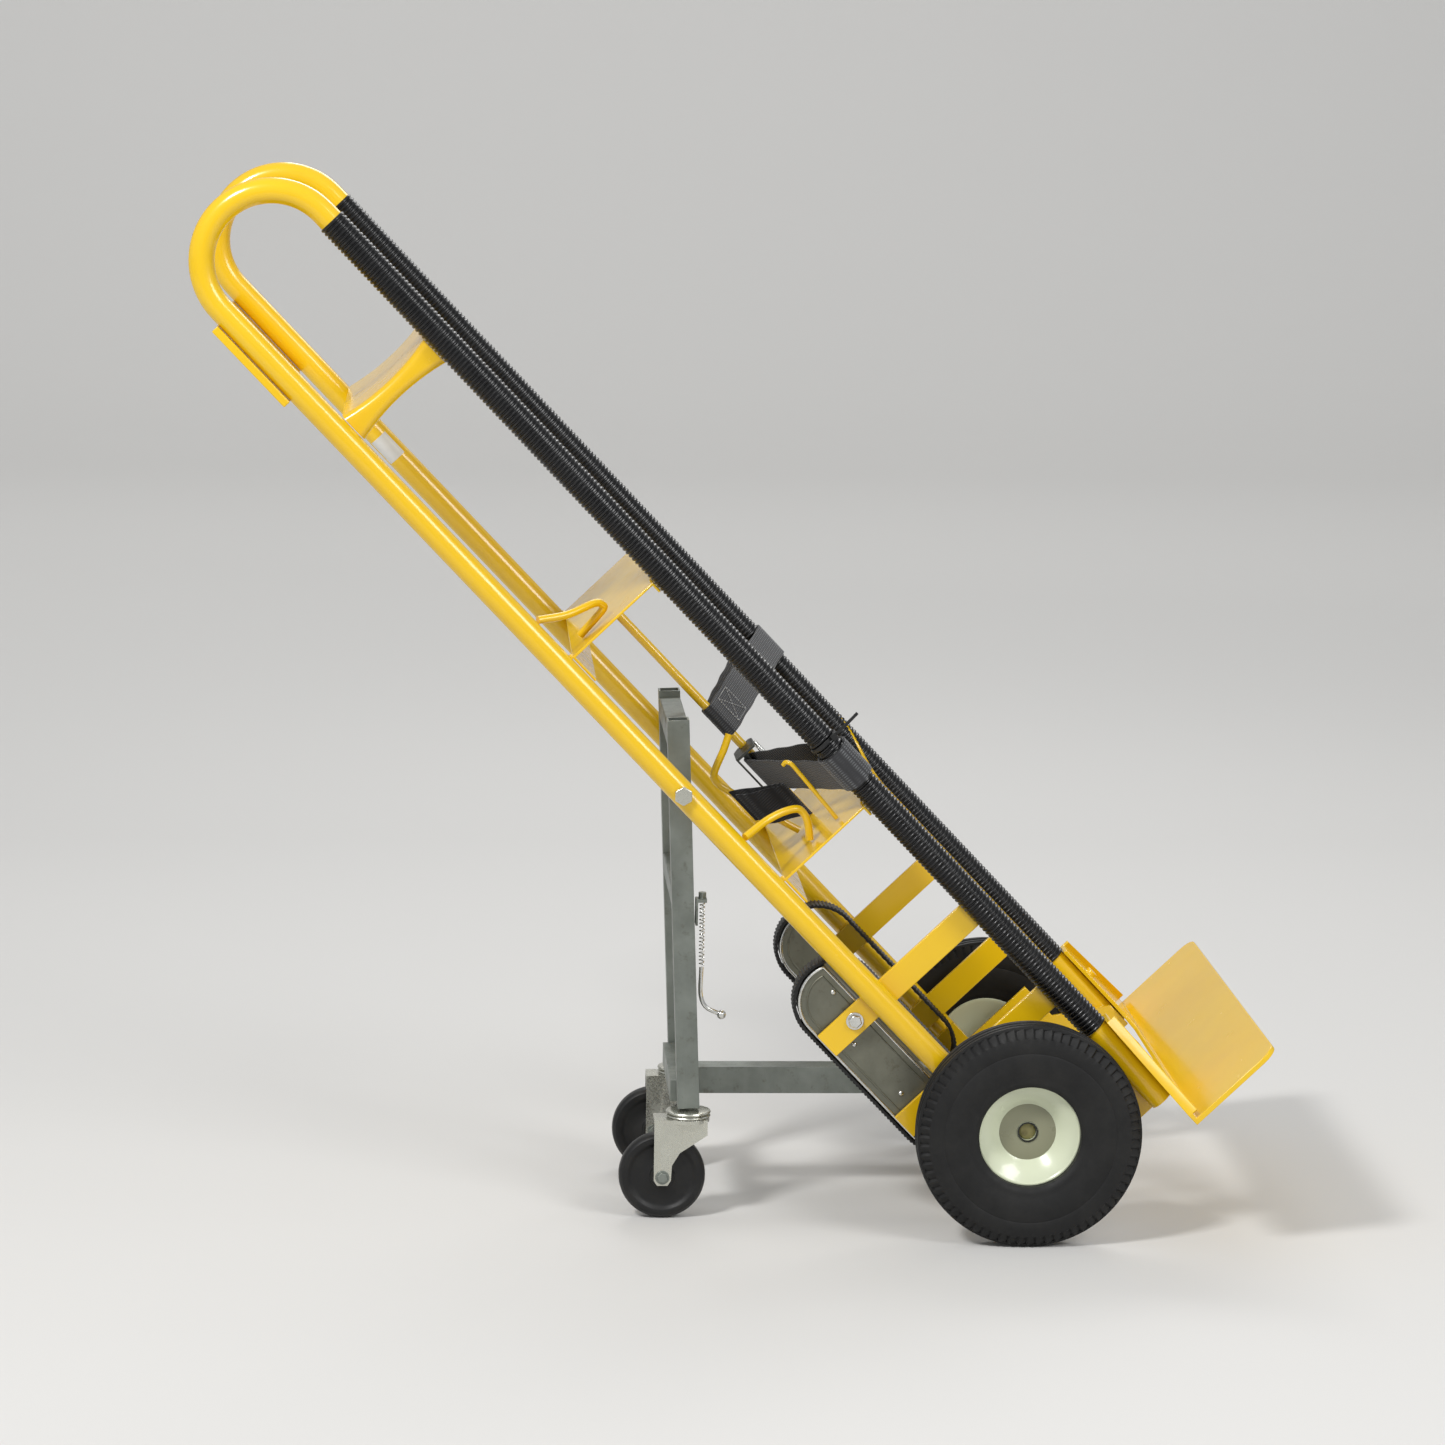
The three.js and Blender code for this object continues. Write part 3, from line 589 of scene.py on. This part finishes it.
# ---- pressed and flat yellow parts --------------------------------------------------------------
for node in ("middle_cross_member", "lower_cross_member"):
    refined(node, "chassis", YELLOW, 1.2, 4)
corner_sides = ((1, 1, 0), (-1, 1, 90), (-1, -1, 180), (1, -1, 270))
member_verts = []
for i in range(TOP_MEMBER_STEPS + 1):
    part = i / TOP_MEMBER_STEPS
    half = TOP_MEMBER_HALF_MIDDLE + TOP_MEMBER_FLARE * (2 * part - 1) ** 2
    w = TOP_MEMBER_REAR_W + (TOP_MEMBER_FRONT_W - TOP_MEMBER_REAR_W) * part
    for along, up, start in corner_sides:
        corner_y = along * (TOP_MEMBER_END_Y - TOP_MEMBER_CORNER_R)
        corner_u = up * (half - TOP_MEMBER_CORNER_R)
        for dy, du in arc(corner_y, corner_u, TOP_MEMBER_CORNER_R, start, start + 90, 6):
            member_verts.append(tip(w, dy, TOP_MEMBER_U + du))
ring_size = len(member_verts) // (TOP_MEMBER_STEPS + 1)
member_faces = rings_to_faces(TOP_MEMBER_STEPS + 1, ring_size)
member_faces.append(tuple(range(ring_size - 1, -1, -1)))
member_faces.append(tuple(TOP_MEMBER_STEPS * ring_size + k for k in range(ring_size)))
piece("top_cross_member_shell", member_verts, member_faces, "chassis", "yellow_paint", YELLOW,
      ["top_cross_member"])
refined("upper_rear_plate", "chassis", YELLOW, 1.4, 4)
refined("toe_plate", "chassis", YELLOW, 1.6, 4)
for label, side in SIDES:
    for part in ("axle_bracket", "upper_climber_bar", "lower_climber_bar"):
        refined(f"{label}_{part}", "chassis", YELLOW, 0.9)


# ---- bent yellow rods -----------------------------------------------------------------------------
def rod_piece(name, points, radius, node, body="chassis", slot="yellow_paint", material=YELLOW, steps=10):
    path = smooth_path([tip(*p) for p in points], steps)
    verts, faces = tube(path, radius, 16)
    return piece(name, verts, faces, body, slot, material, [node])


rod_piece("tie_rod_bar", [(TIE_ROD_W, 0, LOWER_MEMBER_U + 0.3), (TIE_ROD_W, 0, 580), (TIE_ROD_W, 0, 751.7)],
          5.5, "tie_rod")
rod_piece("strap_guide_bar",
          [(REAR_W + 16, -186, 812), (22, -170, 792), (52, -150, 778), (57, -145, 770), (52, -142, 765),
           (14, -135, 760.5)], 4.6, "strap_guide_rod")
rod_piece("lower_guide_bar",
          [(REAR_W + 16, -186, 468), (22, -166, 462), (42, -156, 455), (57, -151, 446), (60, -148, 437),
           (56, -146, 424), (44, -142, LOWER_MEMBER_U + 5)], 4.6, "lower_guide_rod")
rod_piece("strap_hook_bar",
          [(36, -52, LOWER_MEMBER_U + 4.8), (22, -54, 450), (9, -56, 495), (5, -57, 515), (11, -58, 526),
           (37, -57, 538), (54, -55, 547)], 4.4, "strap_hook")
rod_piece("strap_keeper_wire",
          [(84, -152, LOWER_MEMBER_U + 3.2), (87, -152, 450), (89, -152, 484), (88, -150, 490),
           (85, -147, 493), (81, -144, 492)], 2.6, "strap_keeper")


# ---- weld beads where the cross members, climber bars and toe plate meet the rails -----------------
def weld(name, points, radius=2.2):
    """A rippled weld bead along world points."""
    path = []
    for a, b in zip(points, points[1:]):
        steps = max(2, int((b - a).length / (1.3 * MM)))
        path += [a.lerp(b, i / steps) for i in range(steps)]
    path.append(points[-1])
    radii = [radius * (0.85 + 0.25 * (i % 2) + 0.08 * random.random()) for i in range(len(path))]
    verts, faces = tube(path, radii, 8)
    piece(name, verts, faces, "chassis", "yellow_paint", YELLOW)


for label, side in SIDES:
    touch = side * (FRAME_Y - 9)
    for tag, u in (("middle", MIDDLE_MEMBER_U), ("lower", LOWER_MEMBER_U)):
        weld(f"{label}_{tag}_front_weld",
             [tip(FRONT_W - 17.4, touch, u + 0.5), tip(FRONT_W - 17.4, side * 172, u + 0.5)])
        weld(f"{label}_{tag}_rear_weld",
             [tip(REAR_W + 14.6, side * 190, u + 0.3), tip(REAR_W + 14.6, side * 176, u + 0.3)])
    for tag, u in (("upper", UPPER_BAR_U), ("lower", LOWER_BAR_U)):
        for edge in (-BAR_HALF_HEIGHT, BAR_HALF_HEIGHT):
            weld(f"{label}_{tag}_bar_weld_{'low' if edge < 0 else 'high'}",
                 [tip(REAR_W - 9, side * 178.6, u + edge), tip(REAR_W + 9, side * 178.6, u + edge)])
    weld(f"{label}_toe_weld",
         [tip(FRONT_W + 13.6, y, FRONT_RAIL_BOTTOM + 4) for y in (side * 180, side * 206)])

# ---- wheels -----------------------------------------------------------------------------------------
TYRE_SEGMENTS = TYRE_TEETH * 4
half_tread = [
    (58.6, 0), (58.6, 19), (61.5, 21.5), (66, 23.2), (70, 23.0), (72, 24.0), (84, 25.2), (97, 26),
    (99, 25.2), (101, 26), (109, 25.4), (116, 24.2), (119.5, 23.0), (124.2, 21.2), (127.4, 18.2),
    (125.8, 17.2), (125.8, 16.0), (129.0, 15.2), (129.3, 10.6), (127.2, 9.9), (127.2, 8.7),
    (129.8, 8.0), (130.0, 3.2), (127.8, 2.5), (127.8, 0),
]
TYRE_PROFILE = [(r, -t) for r, t in half_tread] + [(r, t) for r, t in reversed(half_tread[1:-1])]
TOOTHED_POINTS = {12, 13, 14}


def tooth(k, index, r, t):
    """Cuts the tread's outer edge into saw teeth."""
    mirrored = index if index < len(half_tread) else 2 * len(half_tread) - 2 - index
    if mirrored in TOOTHED_POINTS:
        ramp = (k % 4) / 3
        return r - 2.8 * ramp, t - math.copysign(1.7 * ramp, t)
    return r, t


RIM_PROFILE = [
    (9.9, -28), (13.2, -28), (14.2, -27), (14.2, -14.6), (18, -13.6), (32, -13.6), (35, -14.4), (53, -19.0),
    (56, -20.5), (58.4, -20.5), (59.4, -19.4), (59.5, 7.4), (58.8, 9.2), (57.4, 9.4), (56.3, 8.2),
    (54.6, 7.0), (50, 5.2), (37.0, -5.4), (33.8, -8.2), (32.0, -9.4), (18, -9.8), (16.6, -9.6),
    (14.0, -9.4), (12.4, -9.0), (11.2, -7.4), (9.9, -7.6),
]
for label, side in SIDES:
    body = f"{label}_wheel"

    def place(x, t, z, side=side):
        return ground(x, side * (WHEEL_Y + t), z)

    verts, faces = turned(TYRE_PROFILE, TYRE_SEGMENTS, place, shift=tooth)
    piece(f"{label}_tyre_tread", verts, faces, body, "tyre_rubber", TYRE, [f"{label}_tyre"])
    verts, faces = turned(RIM_PROFILE, 96, place)
    piece(f"{label}_dished_rim", verts, faces, body, "cream_paint", CREAM, [f"{label}_rim"])
    seal = [(9.9, -7.9), (11.4, -7.9), (11.8, -7.0), (11.3, -6.3), (10.1, -6.3)]
    verts, faces = turned(seal, 48, place)
    piece(f"{label}_bearing_seal", verts, faces, body, "cream_paint", NYLON)
    # The flat hub disc carries the darkened cream, which is painted shade for the shade inside the dish.
    disc = [(12.4, -9.6), (12.6, -7.6), (16.4, -7.8), (31.2, -8.3), (32.6, -8.7), (33.4, -9.9), (20, -10.4)]
    verts, faces = turned(disc, 96, place)
    piece(f"{label}_hub_disc", verts, faces, body, "cream_paint", HUB_DISC_PAINTED_SHADE)

axle_end = [(-AXLE_END_Y, 7.8), (-AXLE_END_Y + 0.9, 9.3), (-AXLE_END_Y + 4, AXLE_R), (AXLE_END_Y - 4, AXLE_R),
            (AXLE_END_Y - 0.9, 9.3), (AXLE_END_Y, 7.8)]
verts, faces = tube([ground(0, y, 0) for y, _ in axle_end], [r for _, r in axle_end], 40)
piece("axle_bar", verts, faces, "chassis", "axle_steel", AXLE_STEEL, ["axle"])
for label, side in SIDES:
    refined(f"{label}_axle_collar", "chassis", ZINC, 1.0)
    clip = tube([ground(10.1 * math.cos(a), side * (AXLE_END_Y - 4.6), 10.1 * math.sin(a))
                 for a in [math.radians(20 + 320 * i / 30) for i in range(31)]], 0.8, 8)
    piece(f"{label}_axle_clip", *clip, "chassis", "dark_steel", DARK_STEEL)


# ---- stair climbers -----------------------------------------------------------------------------------
def stadium(radius, steps=30):
    """The outline round both belt ends, as w and u."""
    return (arc(CLIMBER_W, CLIMBER_TOP_U, radius, 0, 180, steps)
            + [(CLIMBER_W - radius, CLIMBER_TOP_U - (CLIMBER_TOP_U - CLIMBER_BOTTOM_U) * i / 30)
                for i in range(1, 30)]
            + arc(CLIMBER_W, CLIMBER_BOTTOM_U, radius, 180, 360, steps)
            + [(CLIMBER_W + radius, CLIMBER_BOTTOM_U + (CLIMBER_TOP_U - CLIMBER_BOTTOM_U) * i / 30)
                for i in range(1, 30)])


def even_stadium(radius, count):
    """Evenly spaced points on the stadium, each with its outward direction."""
    result = []
    for w, u in evenly_spaced(stadium(radius, 60), count):
        nearest_u = min(max(u, CLIMBER_BOTTOM_U), CLIMBER_TOP_U)
        result.append((w, u, Vector((w - CLIMBER_W, u - nearest_u)).normalized()))
    return result


for label, side in SIDES:
    inner_y = BELT_INNER_Y * side
    outer_y = BELT_OUTER_Y * side
    verts = []
    for k, (w, u, out) in enumerate(even_stadium(BELT_R, BELT_STEPS)):
        lug = 1.1 if k % 4 in (0, 1) else 0.0
        cog = 1.3 if k % 8 < 4 else 0.0
        rows = ((BELT_R - 1.1 + lug, inner_y + 1.2 * side), (BELT_R - 1.1 + lug, outer_y - 1.2 * side),
                (BELT_R - 1.6, outer_y), (BELT_INNER_R + 0.6, outer_y),
                (BELT_INNER_R + 1.3 - cog, outer_y - 1.0 * side),
                (BELT_INNER_R + 1.3 - cog, inner_y + 1.0 * side),
                (BELT_INNER_R + 0.6, inner_y), (BELT_R - 1.6, inner_y))
        for r, y in rows:
            verts.append(tip(w + out.x * (r - BELT_R), y, u + out.y * (r - BELT_R)))
    piece(f"{label}_toothed_belt", verts, rings_to_faces(BELT_STEPS, 8, closed=True), "chassis",
          "belt_rubber", BELT, [f"{label}_climber_belt"])
    refined(f"{label}_climber_skid", "chassis", SKID, 2.0, 4)

    def skid_outline(radius, front):
        meet = math.degrees(math.acos((front - CLIMBER_W) / radius))
        return (arc(CLIMBER_W, CLIMBER_TOP_U, radius, meet, 180, 30)
                + arc(CLIMBER_W, CLIMBER_BOTTOM_U, radius, 180, 360 - meet, 30))

    for face, y in (("outer", side * 169.2), ("inner", side * 141.3)):
        for tag, radius, front, thick in (("rim", SKID_R - 2.2, SKID_FRONT_W - 2.2, 2.0),
                                          ("groove", SKID_R - 11, SKID_FRONT_W - 10, 1.1)):
            ring = [tip(w, y, u) for w, u in skid_outline(radius, front)]
            verts, faces = tube(ring, thick, 10, closed=True)
            piece(f"{label}_skid_{face}_{tag}", verts, faces, "chassis", "skid_steel",
                  BRIGHT if tag == "rim" else SKID)
        out = side if face == "outer" else -side
        dome = [(0.01, 2.0), (1.6, 1.8), (2.8, 1.0), (3.2, 0.0), (3.2, -0.6), (0.01, -0.6)]
        for i, (w, u) in enumerate(((-80, 232), (-80, 200), (-80, 120), (-80, 88), (-56, 262), (-56, 64))):

            def on_skid(x, t, z, w=w, u=u, y=y, out=out):
                return tip(w + x, y + out * t, u + z)

            verts, faces = turned(dome, 16, on_skid, closed=False)
            piece(f"{label}_skid_{face}_rivet_{i}", verts, faces, "chassis", "skid_steel", BRIGHT)
    for tag, u in (("upper", UPPER_BAR_U), ("lower", LOWER_BAR_U)):
        nut = hexagon_head(tip(CLIMBER_W, side * 178.4, u), Vector((0, side, 0)), 8.2, 6.4, "chassis",
                           "bright_steel", BRIGHT, f"{label}_{tag}_bar_nut")
        if tag == "upper":
            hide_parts(f"{label}_climber_bolt")

# ---- stand and casters --------------------------------------------------------------------------------
refined("pivot_rod", "chassis", STAMPED, 0.8)
refined("brace", "brace", ZINC, 2.0, 4)
refined("latch_bracket", "stand", ZINC, 0.5)
refined("foot_lever", "foot_release", BRIGHT, 0.3)
for node in ("stand_top_tube", "stand_middle_tube"):
    refined(node, "stand", ZINC, 2.0, 4)
for label, side in SIDES:
    refined(f"{label}_stand_leg", "stand", ZINC, 1.0, 3)
    refined(f"{label}_pivot_spacer", "chassis", ZINC, 0.8)

spring_low, spring_high = (Vector(v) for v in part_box("latch_spring"))
spring_centre = (spring_low + spring_high) / 2
coil = []
for i in range(SPRING_TURNS * SPRING_STEPS_PER_TURN + 1):
    angle = math.tau * i / SPRING_STEPS_PER_TURN
    part = i / (SPRING_TURNS * SPRING_STEPS_PER_TURN)
    height = spring_low.z + 2 * SPRING_WIRE_R * MM
    height += (spring_high.z - spring_low.z - 4 * SPRING_WIRE_R * MM) * part
    coil.append(Vector((spring_centre.x + SPRING_COIL_R * MM * math.cos(angle),
                        spring_centre.y + SPRING_COIL_R * MM * math.sin(angle), height)))
verts, faces = tube(coil, SPRING_WIRE_R, 8)
piece("latch_spring_coil", verts, faces, "stand", "zinc_steel", BRIGHT, ["latch_spring"])

caster_profile = [(5.4, -14), (12.6, -14), (14, -13), (14.6, -10.4), (17, -9), (34, -8.4), (37.4, -9.4),
                  (39.6, -11.6), (42, -12.4), (46.5, -12), (49.2, -9.6), (50.4, -6), (50.7, 0)]
caster_full = caster_profile + [(r, -t) for r, t in reversed(caster_profile[:-1])]
for label, side in SIDES:
    y = side * LEG_Y
    wheel_z = CASTER_R - WHEEL_R
    wheel_x = CASTER_X - CASTER_TRAIL

    def on_roller(x, t, z, y=y, wheel_x=wheel_x, wheel_z=wheel_z):
        return ground(wheel_x + x, y + t, wheel_z + z)

    def on_plate(x, t, z, y=y):
        return ground(CASTER_X + x, y + z, t)

    verts, faces = turned(caster_full, 72, on_roller)
    piece(f"{label}_caster_tyre", verts, faces, f"{label}_caster_roller", "caster_rubber", CASTER,
          [f"{label}_caster_wheel"])
    refined(f"{label}_caster_fork", f"{label}_caster_swivel", STAMPED, 1.2, 3)
    race = [(0.01, -1.3), (17, -1.3), (22, -1.6), (25.6, -2.4), (26.4, -3.8), (25.4, -5.0), (22.5, -5.6),
            (22.5, -6.4), (25.4, -6.9), (26.3, -8.2), (25, -9.7), (22, -9.9), (0.01, -9.9)]
    verts, faces = turned(race, 64, on_plate, closed=False)
    piece(f"{label}_caster_race", verts, faces, "stand", "zinc_steel", STAMPED, [f"{label}_caster_plate"])
    for end in (-1, 1):
        hexagon_head(ground(wheel_x, y + end * 18, wheel_z), Vector((0, end, 0)), 6.6, 4.2,
                     f"{label}_caster_swivel", "zinc_steel", ZINC,
                     f"{label}_caster_nut_{'a' if end < 0 else 'b'}")


# ---- strap, buckle and cable tie ------------------------------------------------------------------------
def band_outline(first, second, steps=24):
    """A closed outline round two circles given as (a, b, radius)."""
    (ax, ay, ar), (bx, by, br) = first, second
    along = math.degrees(math.atan2(by - ay, bx - ax))
    spread = math.degrees(math.acos((ar - br) / math.hypot(bx - ax, by - ay)))
    return (arc(ax, ay, ar, along + spread, along - spread + 360, steps)
            + arc(bx, by, br, along - spread, along + spread, steps))


def web_loop(first, second, u0, u1, slope_at=None):
    """A strap loop with rounded edges and a slight waviness, standing for a CAD strap."""
    outline = band_outline((first[0], first[1], first[2] + WEB_THICKNESS / 2),
                           (second[0], second[1], second[2] + WEB_THICKNESS / 2))
    middle = evenly_spaced(outline, 160)
    count = len(middle)
    section = ((-0.5, -1.0), (-0.5, 1.0), (-0.25, 1.02), (0.25, 1.02), (0.5, 1.0), (0.5, -1.0), (0.25, -1.02),
               (-0.25, -1.02))
    verts = []
    for k, (w, y) in enumerate(middle):
        before = middle[k - 1]
        after = middle[(k + 1) % count]
        out = Vector((after[1] - before[1], before[0] - after[0])).normalized()
        half = (u1 - u0) / 2 - 0.6 + 0.5 * math.sin(k * 0.4)
        drop = 0.0 if slope_at is None else WEB_SLOPE * (y - slope_at)
        for thick, wide in section:
            lift = thick * WEB_THICKNESS * 0.92
            verts.append(tip(w + out.x * lift, y + out.y * lift, (u0 + u1) / 2 + wide * half * 0.98 + drop))
    return verts, rings_to_faces(count, len(section), closed=True)


sleeve_loop = SLEEVE_R + 0.4
piece("left_strap_webbing", *web_loop((FRONT_W, FRAME_Y, sleeve_loop), (TIE_ROD_W, 0, 6.0), 535, 581),
      "chassis", "grey_webbing", GREY_WEB, ["left_strap"])
# The right strap's loop is drawn in the darkened webbing, which is painted shade; its band round the sleeve
# keeps the grey webbing.
piece("right_strap_webbing", *web_loop((FRONT_W, -FRAME_Y, sleeve_loop), (50, -34, 4.3), 464, 510, -34),
      "chassis", "dark_webbing", WEB_PAINTED_SHADE, ["right_strap"])
BAND_SECTION = ((18.9, -22.0), (20.3, -22.8), (20.3, 22.8), (18.9, 22.0))
band_verts = []
for k in range(BAND_STEPS):
    a = math.tau * k / BAND_STEPS
    for r, level in BAND_SECTION:
        u = BAND_U + level + WEB_SLOPE * r * math.sin(a)
        band_verts.append(tip(FRONT_W + r * math.cos(a), -FRAME_Y + r * math.sin(a), u))
piece("right_strap_band", band_verts, rings_to_faces(BAND_STEPS, 4, closed=True), "chassis",
      "grey_webbing", GREY_WEB, bevel=0.4, segments=2)
refined("buckle_frame", "chassis", DARK_STEEL, 0.7)
refined("buckle_cam", "strap_buckle_cam", BRIGHT, 0.4)


def ribbon(points, width_low, width_high, thickness, slope, steps=8):
    """A webbing ribbon through (w, y) points, standing from width_low to width_high along u."""
    path = smooth_path([Vector((w, y, 0)) for w, y in points], steps)
    verts = []
    for k, p in enumerate(path):
        before = path[max(k - 1, 0)]
        after = path[min(k + 1, len(path) - 1)]
        out = Vector((after.y - before.y, before.x - after.x)).normalized()
        for thick, level in ((-0.5, width_low), (-0.5, width_high), (0.5, width_high), (0.5, width_low)):
            wave = 0.8 * math.sin(k * 0.35) + slope * p.x
            verts.append(tip(p.x + out.x * thick * thickness, p.y + out.y * thick * thickness, level + wave))
    count = len(path)
    faces = rings_to_faces(count, 4) + [(3, 2, 1, 0), tuple((count - 1) * 4 + k for k in range(4))]
    return verts, faces


tail = [(8, -68), (26, -72), (44, -80), (60, -90), (62, -98), (46, -104), (28, -104), (14, -98)]
tail_ribbon = ribbon(tail, STRAP_TAIL_U - STRAP_TAIL_HALF_WIDTH, STRAP_TAIL_U + STRAP_TAIL_HALF_WIDTH,
                     WEB_THICKNESS, STRAP_TAIL_SLOPE)
# The folded strap tail also carries the darkened webbing as painted shade.
piece("strap_tail_fold", *tail_ribbon, "chassis", "dark_webbing", WEB_PAINTED_SHADE, ["strap_tail"], bevel=0.5,
      segments=2)


def stitch_run(name, start, end, count):
    """A row of thread stitches between two world points."""
    parts = []
    for i in range(count):
        a = start.lerp(end, (i + 0.15) / count)
        b = start.lerp(end, (i + 0.85) / count)
        parts.append(tube([a, a.lerp(b, 0.5), b], [0.35, 0.6, 0.35], 6))
    piece(name, *merged(*parts), "chassis", "grey_webbing", THREAD)


# a sewn box and cross on the left strap's near run, close to the tie rod
run_direction = Vector((FRONT_W - TIE_ROD_W, FRAME_Y)).normalized()
run_normal = Vector((run_direction.y, -run_direction.x))


def on_left_run(distance, u):
    lift = 8.2 + distance * (18.8 - 8.2) / math.hypot(FRONT_W - TIE_ROD_W, FRAME_Y) + 0.5
    w = TIE_ROD_W + run_direction.x * distance + run_normal.x * lift
    y = run_direction.y * distance + run_normal.y * lift
    return tip(w, y, u)


box_corners = [on_left_run(18, 540), on_left_run(18, 576), on_left_run(50, 576), on_left_run(50, 540)]
for i in range(4):
    stitch_run(f"strap_stitch_side_{i}", box_corners[i], box_corners[(i + 1) % 4], 9)
stitch_run("strap_stitch_cross_a", box_corners[0], box_corners[2], 11)
stitch_run("strap_stitch_cross_b", box_corners[1], box_corners[3], 11)

tie_verts = []
for i in range(CABLE_TIE_STEPS):
    a = math.tau * i / CABLE_TIE_STEPS
    for r, u in ((16.6, 486.2), (18.1, 486.2), (18.1, 490.4), (16.6, 490.4)):
        tie_verts.append(tip(FRONT_W + r * math.cos(a), -FRAME_Y + r * math.sin(a), u))
tie_ring = (tie_verts, rings_to_faces(CABLE_TIE_STEPS, 4, closed=True))
head_outline = [(10, -21), (17, -21), (17, -13.6), (10, -13.6)]
tie_head = prism(head_outline, 485.2, 491.4, lambda a, b, u: tip(FRONT_W + a, -FRAME_Y + b, u))
tail_points = ((16, -17.8, 488.3), (28, -19, 488.6), (40, -18.6, 488.9), (51, -17.2, 489.2))
tail_path = smooth_path([Vector(p) for p in tail_points], 8)
tail_verts = []
for p in tail_path:
    for dy, du in ((-0.6, -1.8), (0.6, -1.8), (0.6, 1.8), (-0.6, 1.8)):
        tail_verts.append(tip(FRONT_W + p.x, -FRAME_Y + p.y + dy, p.z + du))
tail_ends = [(3, 2, 1, 0), tuple(len(tail_verts) - 4 + k for k in range(4))]
tie_tail = (tail_verts, rings_to_faces(len(tail_path), 4) + tail_ends)
piece("cable_tie_strip", *merged(tie_ring, tie_head, tie_tail), "chassis", "black_plastic", NYLON,
      ["cable_tie"], bevel=0.25, segments=2)

# ---- blank label on the left rear rail --------------------------------------------------------------------
label_verts = []
for i in range(LABEL_ROWS + 1):
    u = LABEL_U + LABEL_LENGTH * i / LABEL_ROWS
    for k in range(LABEL_STEPS + 1):
        a = math.radians(-150 + 100 * k / LABEL_STEPS)
        label_verts.append(tip(REAR_W + 14.62 * math.cos(a), FRAME_Y + 14.62 * math.sin(a), u))
row = LABEL_STEPS + 1
label_faces = [(i * row + k, i * row + k + 1, (i + 1) * row + k + 1, (i + 1) * row + k)
               for i in range(LABEL_ROWS) for k in range(LABEL_STEPS)]
piece("blank_rail_label", label_verts, label_faces, "chassis", "yellow_paint", LABEL)

# ---- floor and light ------------------------------------------------------------
floor_mesh = bpy.data.meshes.new("studio_floor")
sweep = [math.radians(a) for a in range(9, 91, 9)]
profile = [(-FLOOR_REACH_M, 0.0), (8.0, 0.0)]
profile += [(8.0 + 4 * math.sin(a), 4 - 4 * math.cos(a)) for a in sweep]
profile.append((12.0, FLOOR_RISE_M))
floor_verts = [(x, y, z) for x in (-FLOOR_REACH_M, FLOOR_REACH_M) for y, z in profile]
size = len(profile)
floor_mesh.from_pydata(floor_verts, [], [(i, i + 1, size + i + 1, size + i) for i in range(size - 1)])
for polygon in floor_mesh.polygons:
    polygon.use_smooth = True
floor = bpy.data.objects.new("studio_floor", floor_mesh)
bpy.context.scene.collection.objects.link(floor)
n = Nodes("studio_floor")
grain = n.bump(n.noise(40, 3), 0.0004, 0.1)
floor_mesh.materials.append(n.finish((0.62, 0.61, 0.59), 0.7, grain, specular=0.2))

bpy.context.scene.view_settings.view_transform = "Standard"
world = bpy.data.worlds.new("studio")
world.use_nodes = True
world.node_tree.nodes["Background"].inputs["Color"].default_value = (0.95, 0.97, 1.0, 1)
world.node_tree.nodes["Background"].inputs["Strength"].default_value = 0.55
bpy.context.scene.world = world


def soft_light(name, place_m, size_m, watts, aim=(0.0, 0.0, 0.5)):
    """A rectangular lamp at a place in metres, turned towards aim."""
    data = bpy.data.lights.new(name, "AREA")
    data.shape = "RECTANGLE"
    data.size = size_m[0]
    data.size_y = size_m[1]
    data.energy = watts
    lamp = bpy.data.objects.new(name, data)
    bpy.context.scene.collection.objects.link(lamp)
    lamp.location = place_m
    lamp.rotation_euler = (Vector(aim) - Vector(place_m)).to_track_quat("-Z", "Y").to_euler()


soft_light("key", (-2.4, -2.8, 4.0), (0.8, 0.8), 165)
soft_light("side", (2.4, -2.6, 2.6), (1.4, 1.4), 55)
soft_light("back", (0.6, 2.8, 3.0), (2.4, 1.2), 45)
soft_light("wall", (0.0, 4.0, 5.5), (6.0, 2.0), 240, (0.0, 12.0, 3.0))
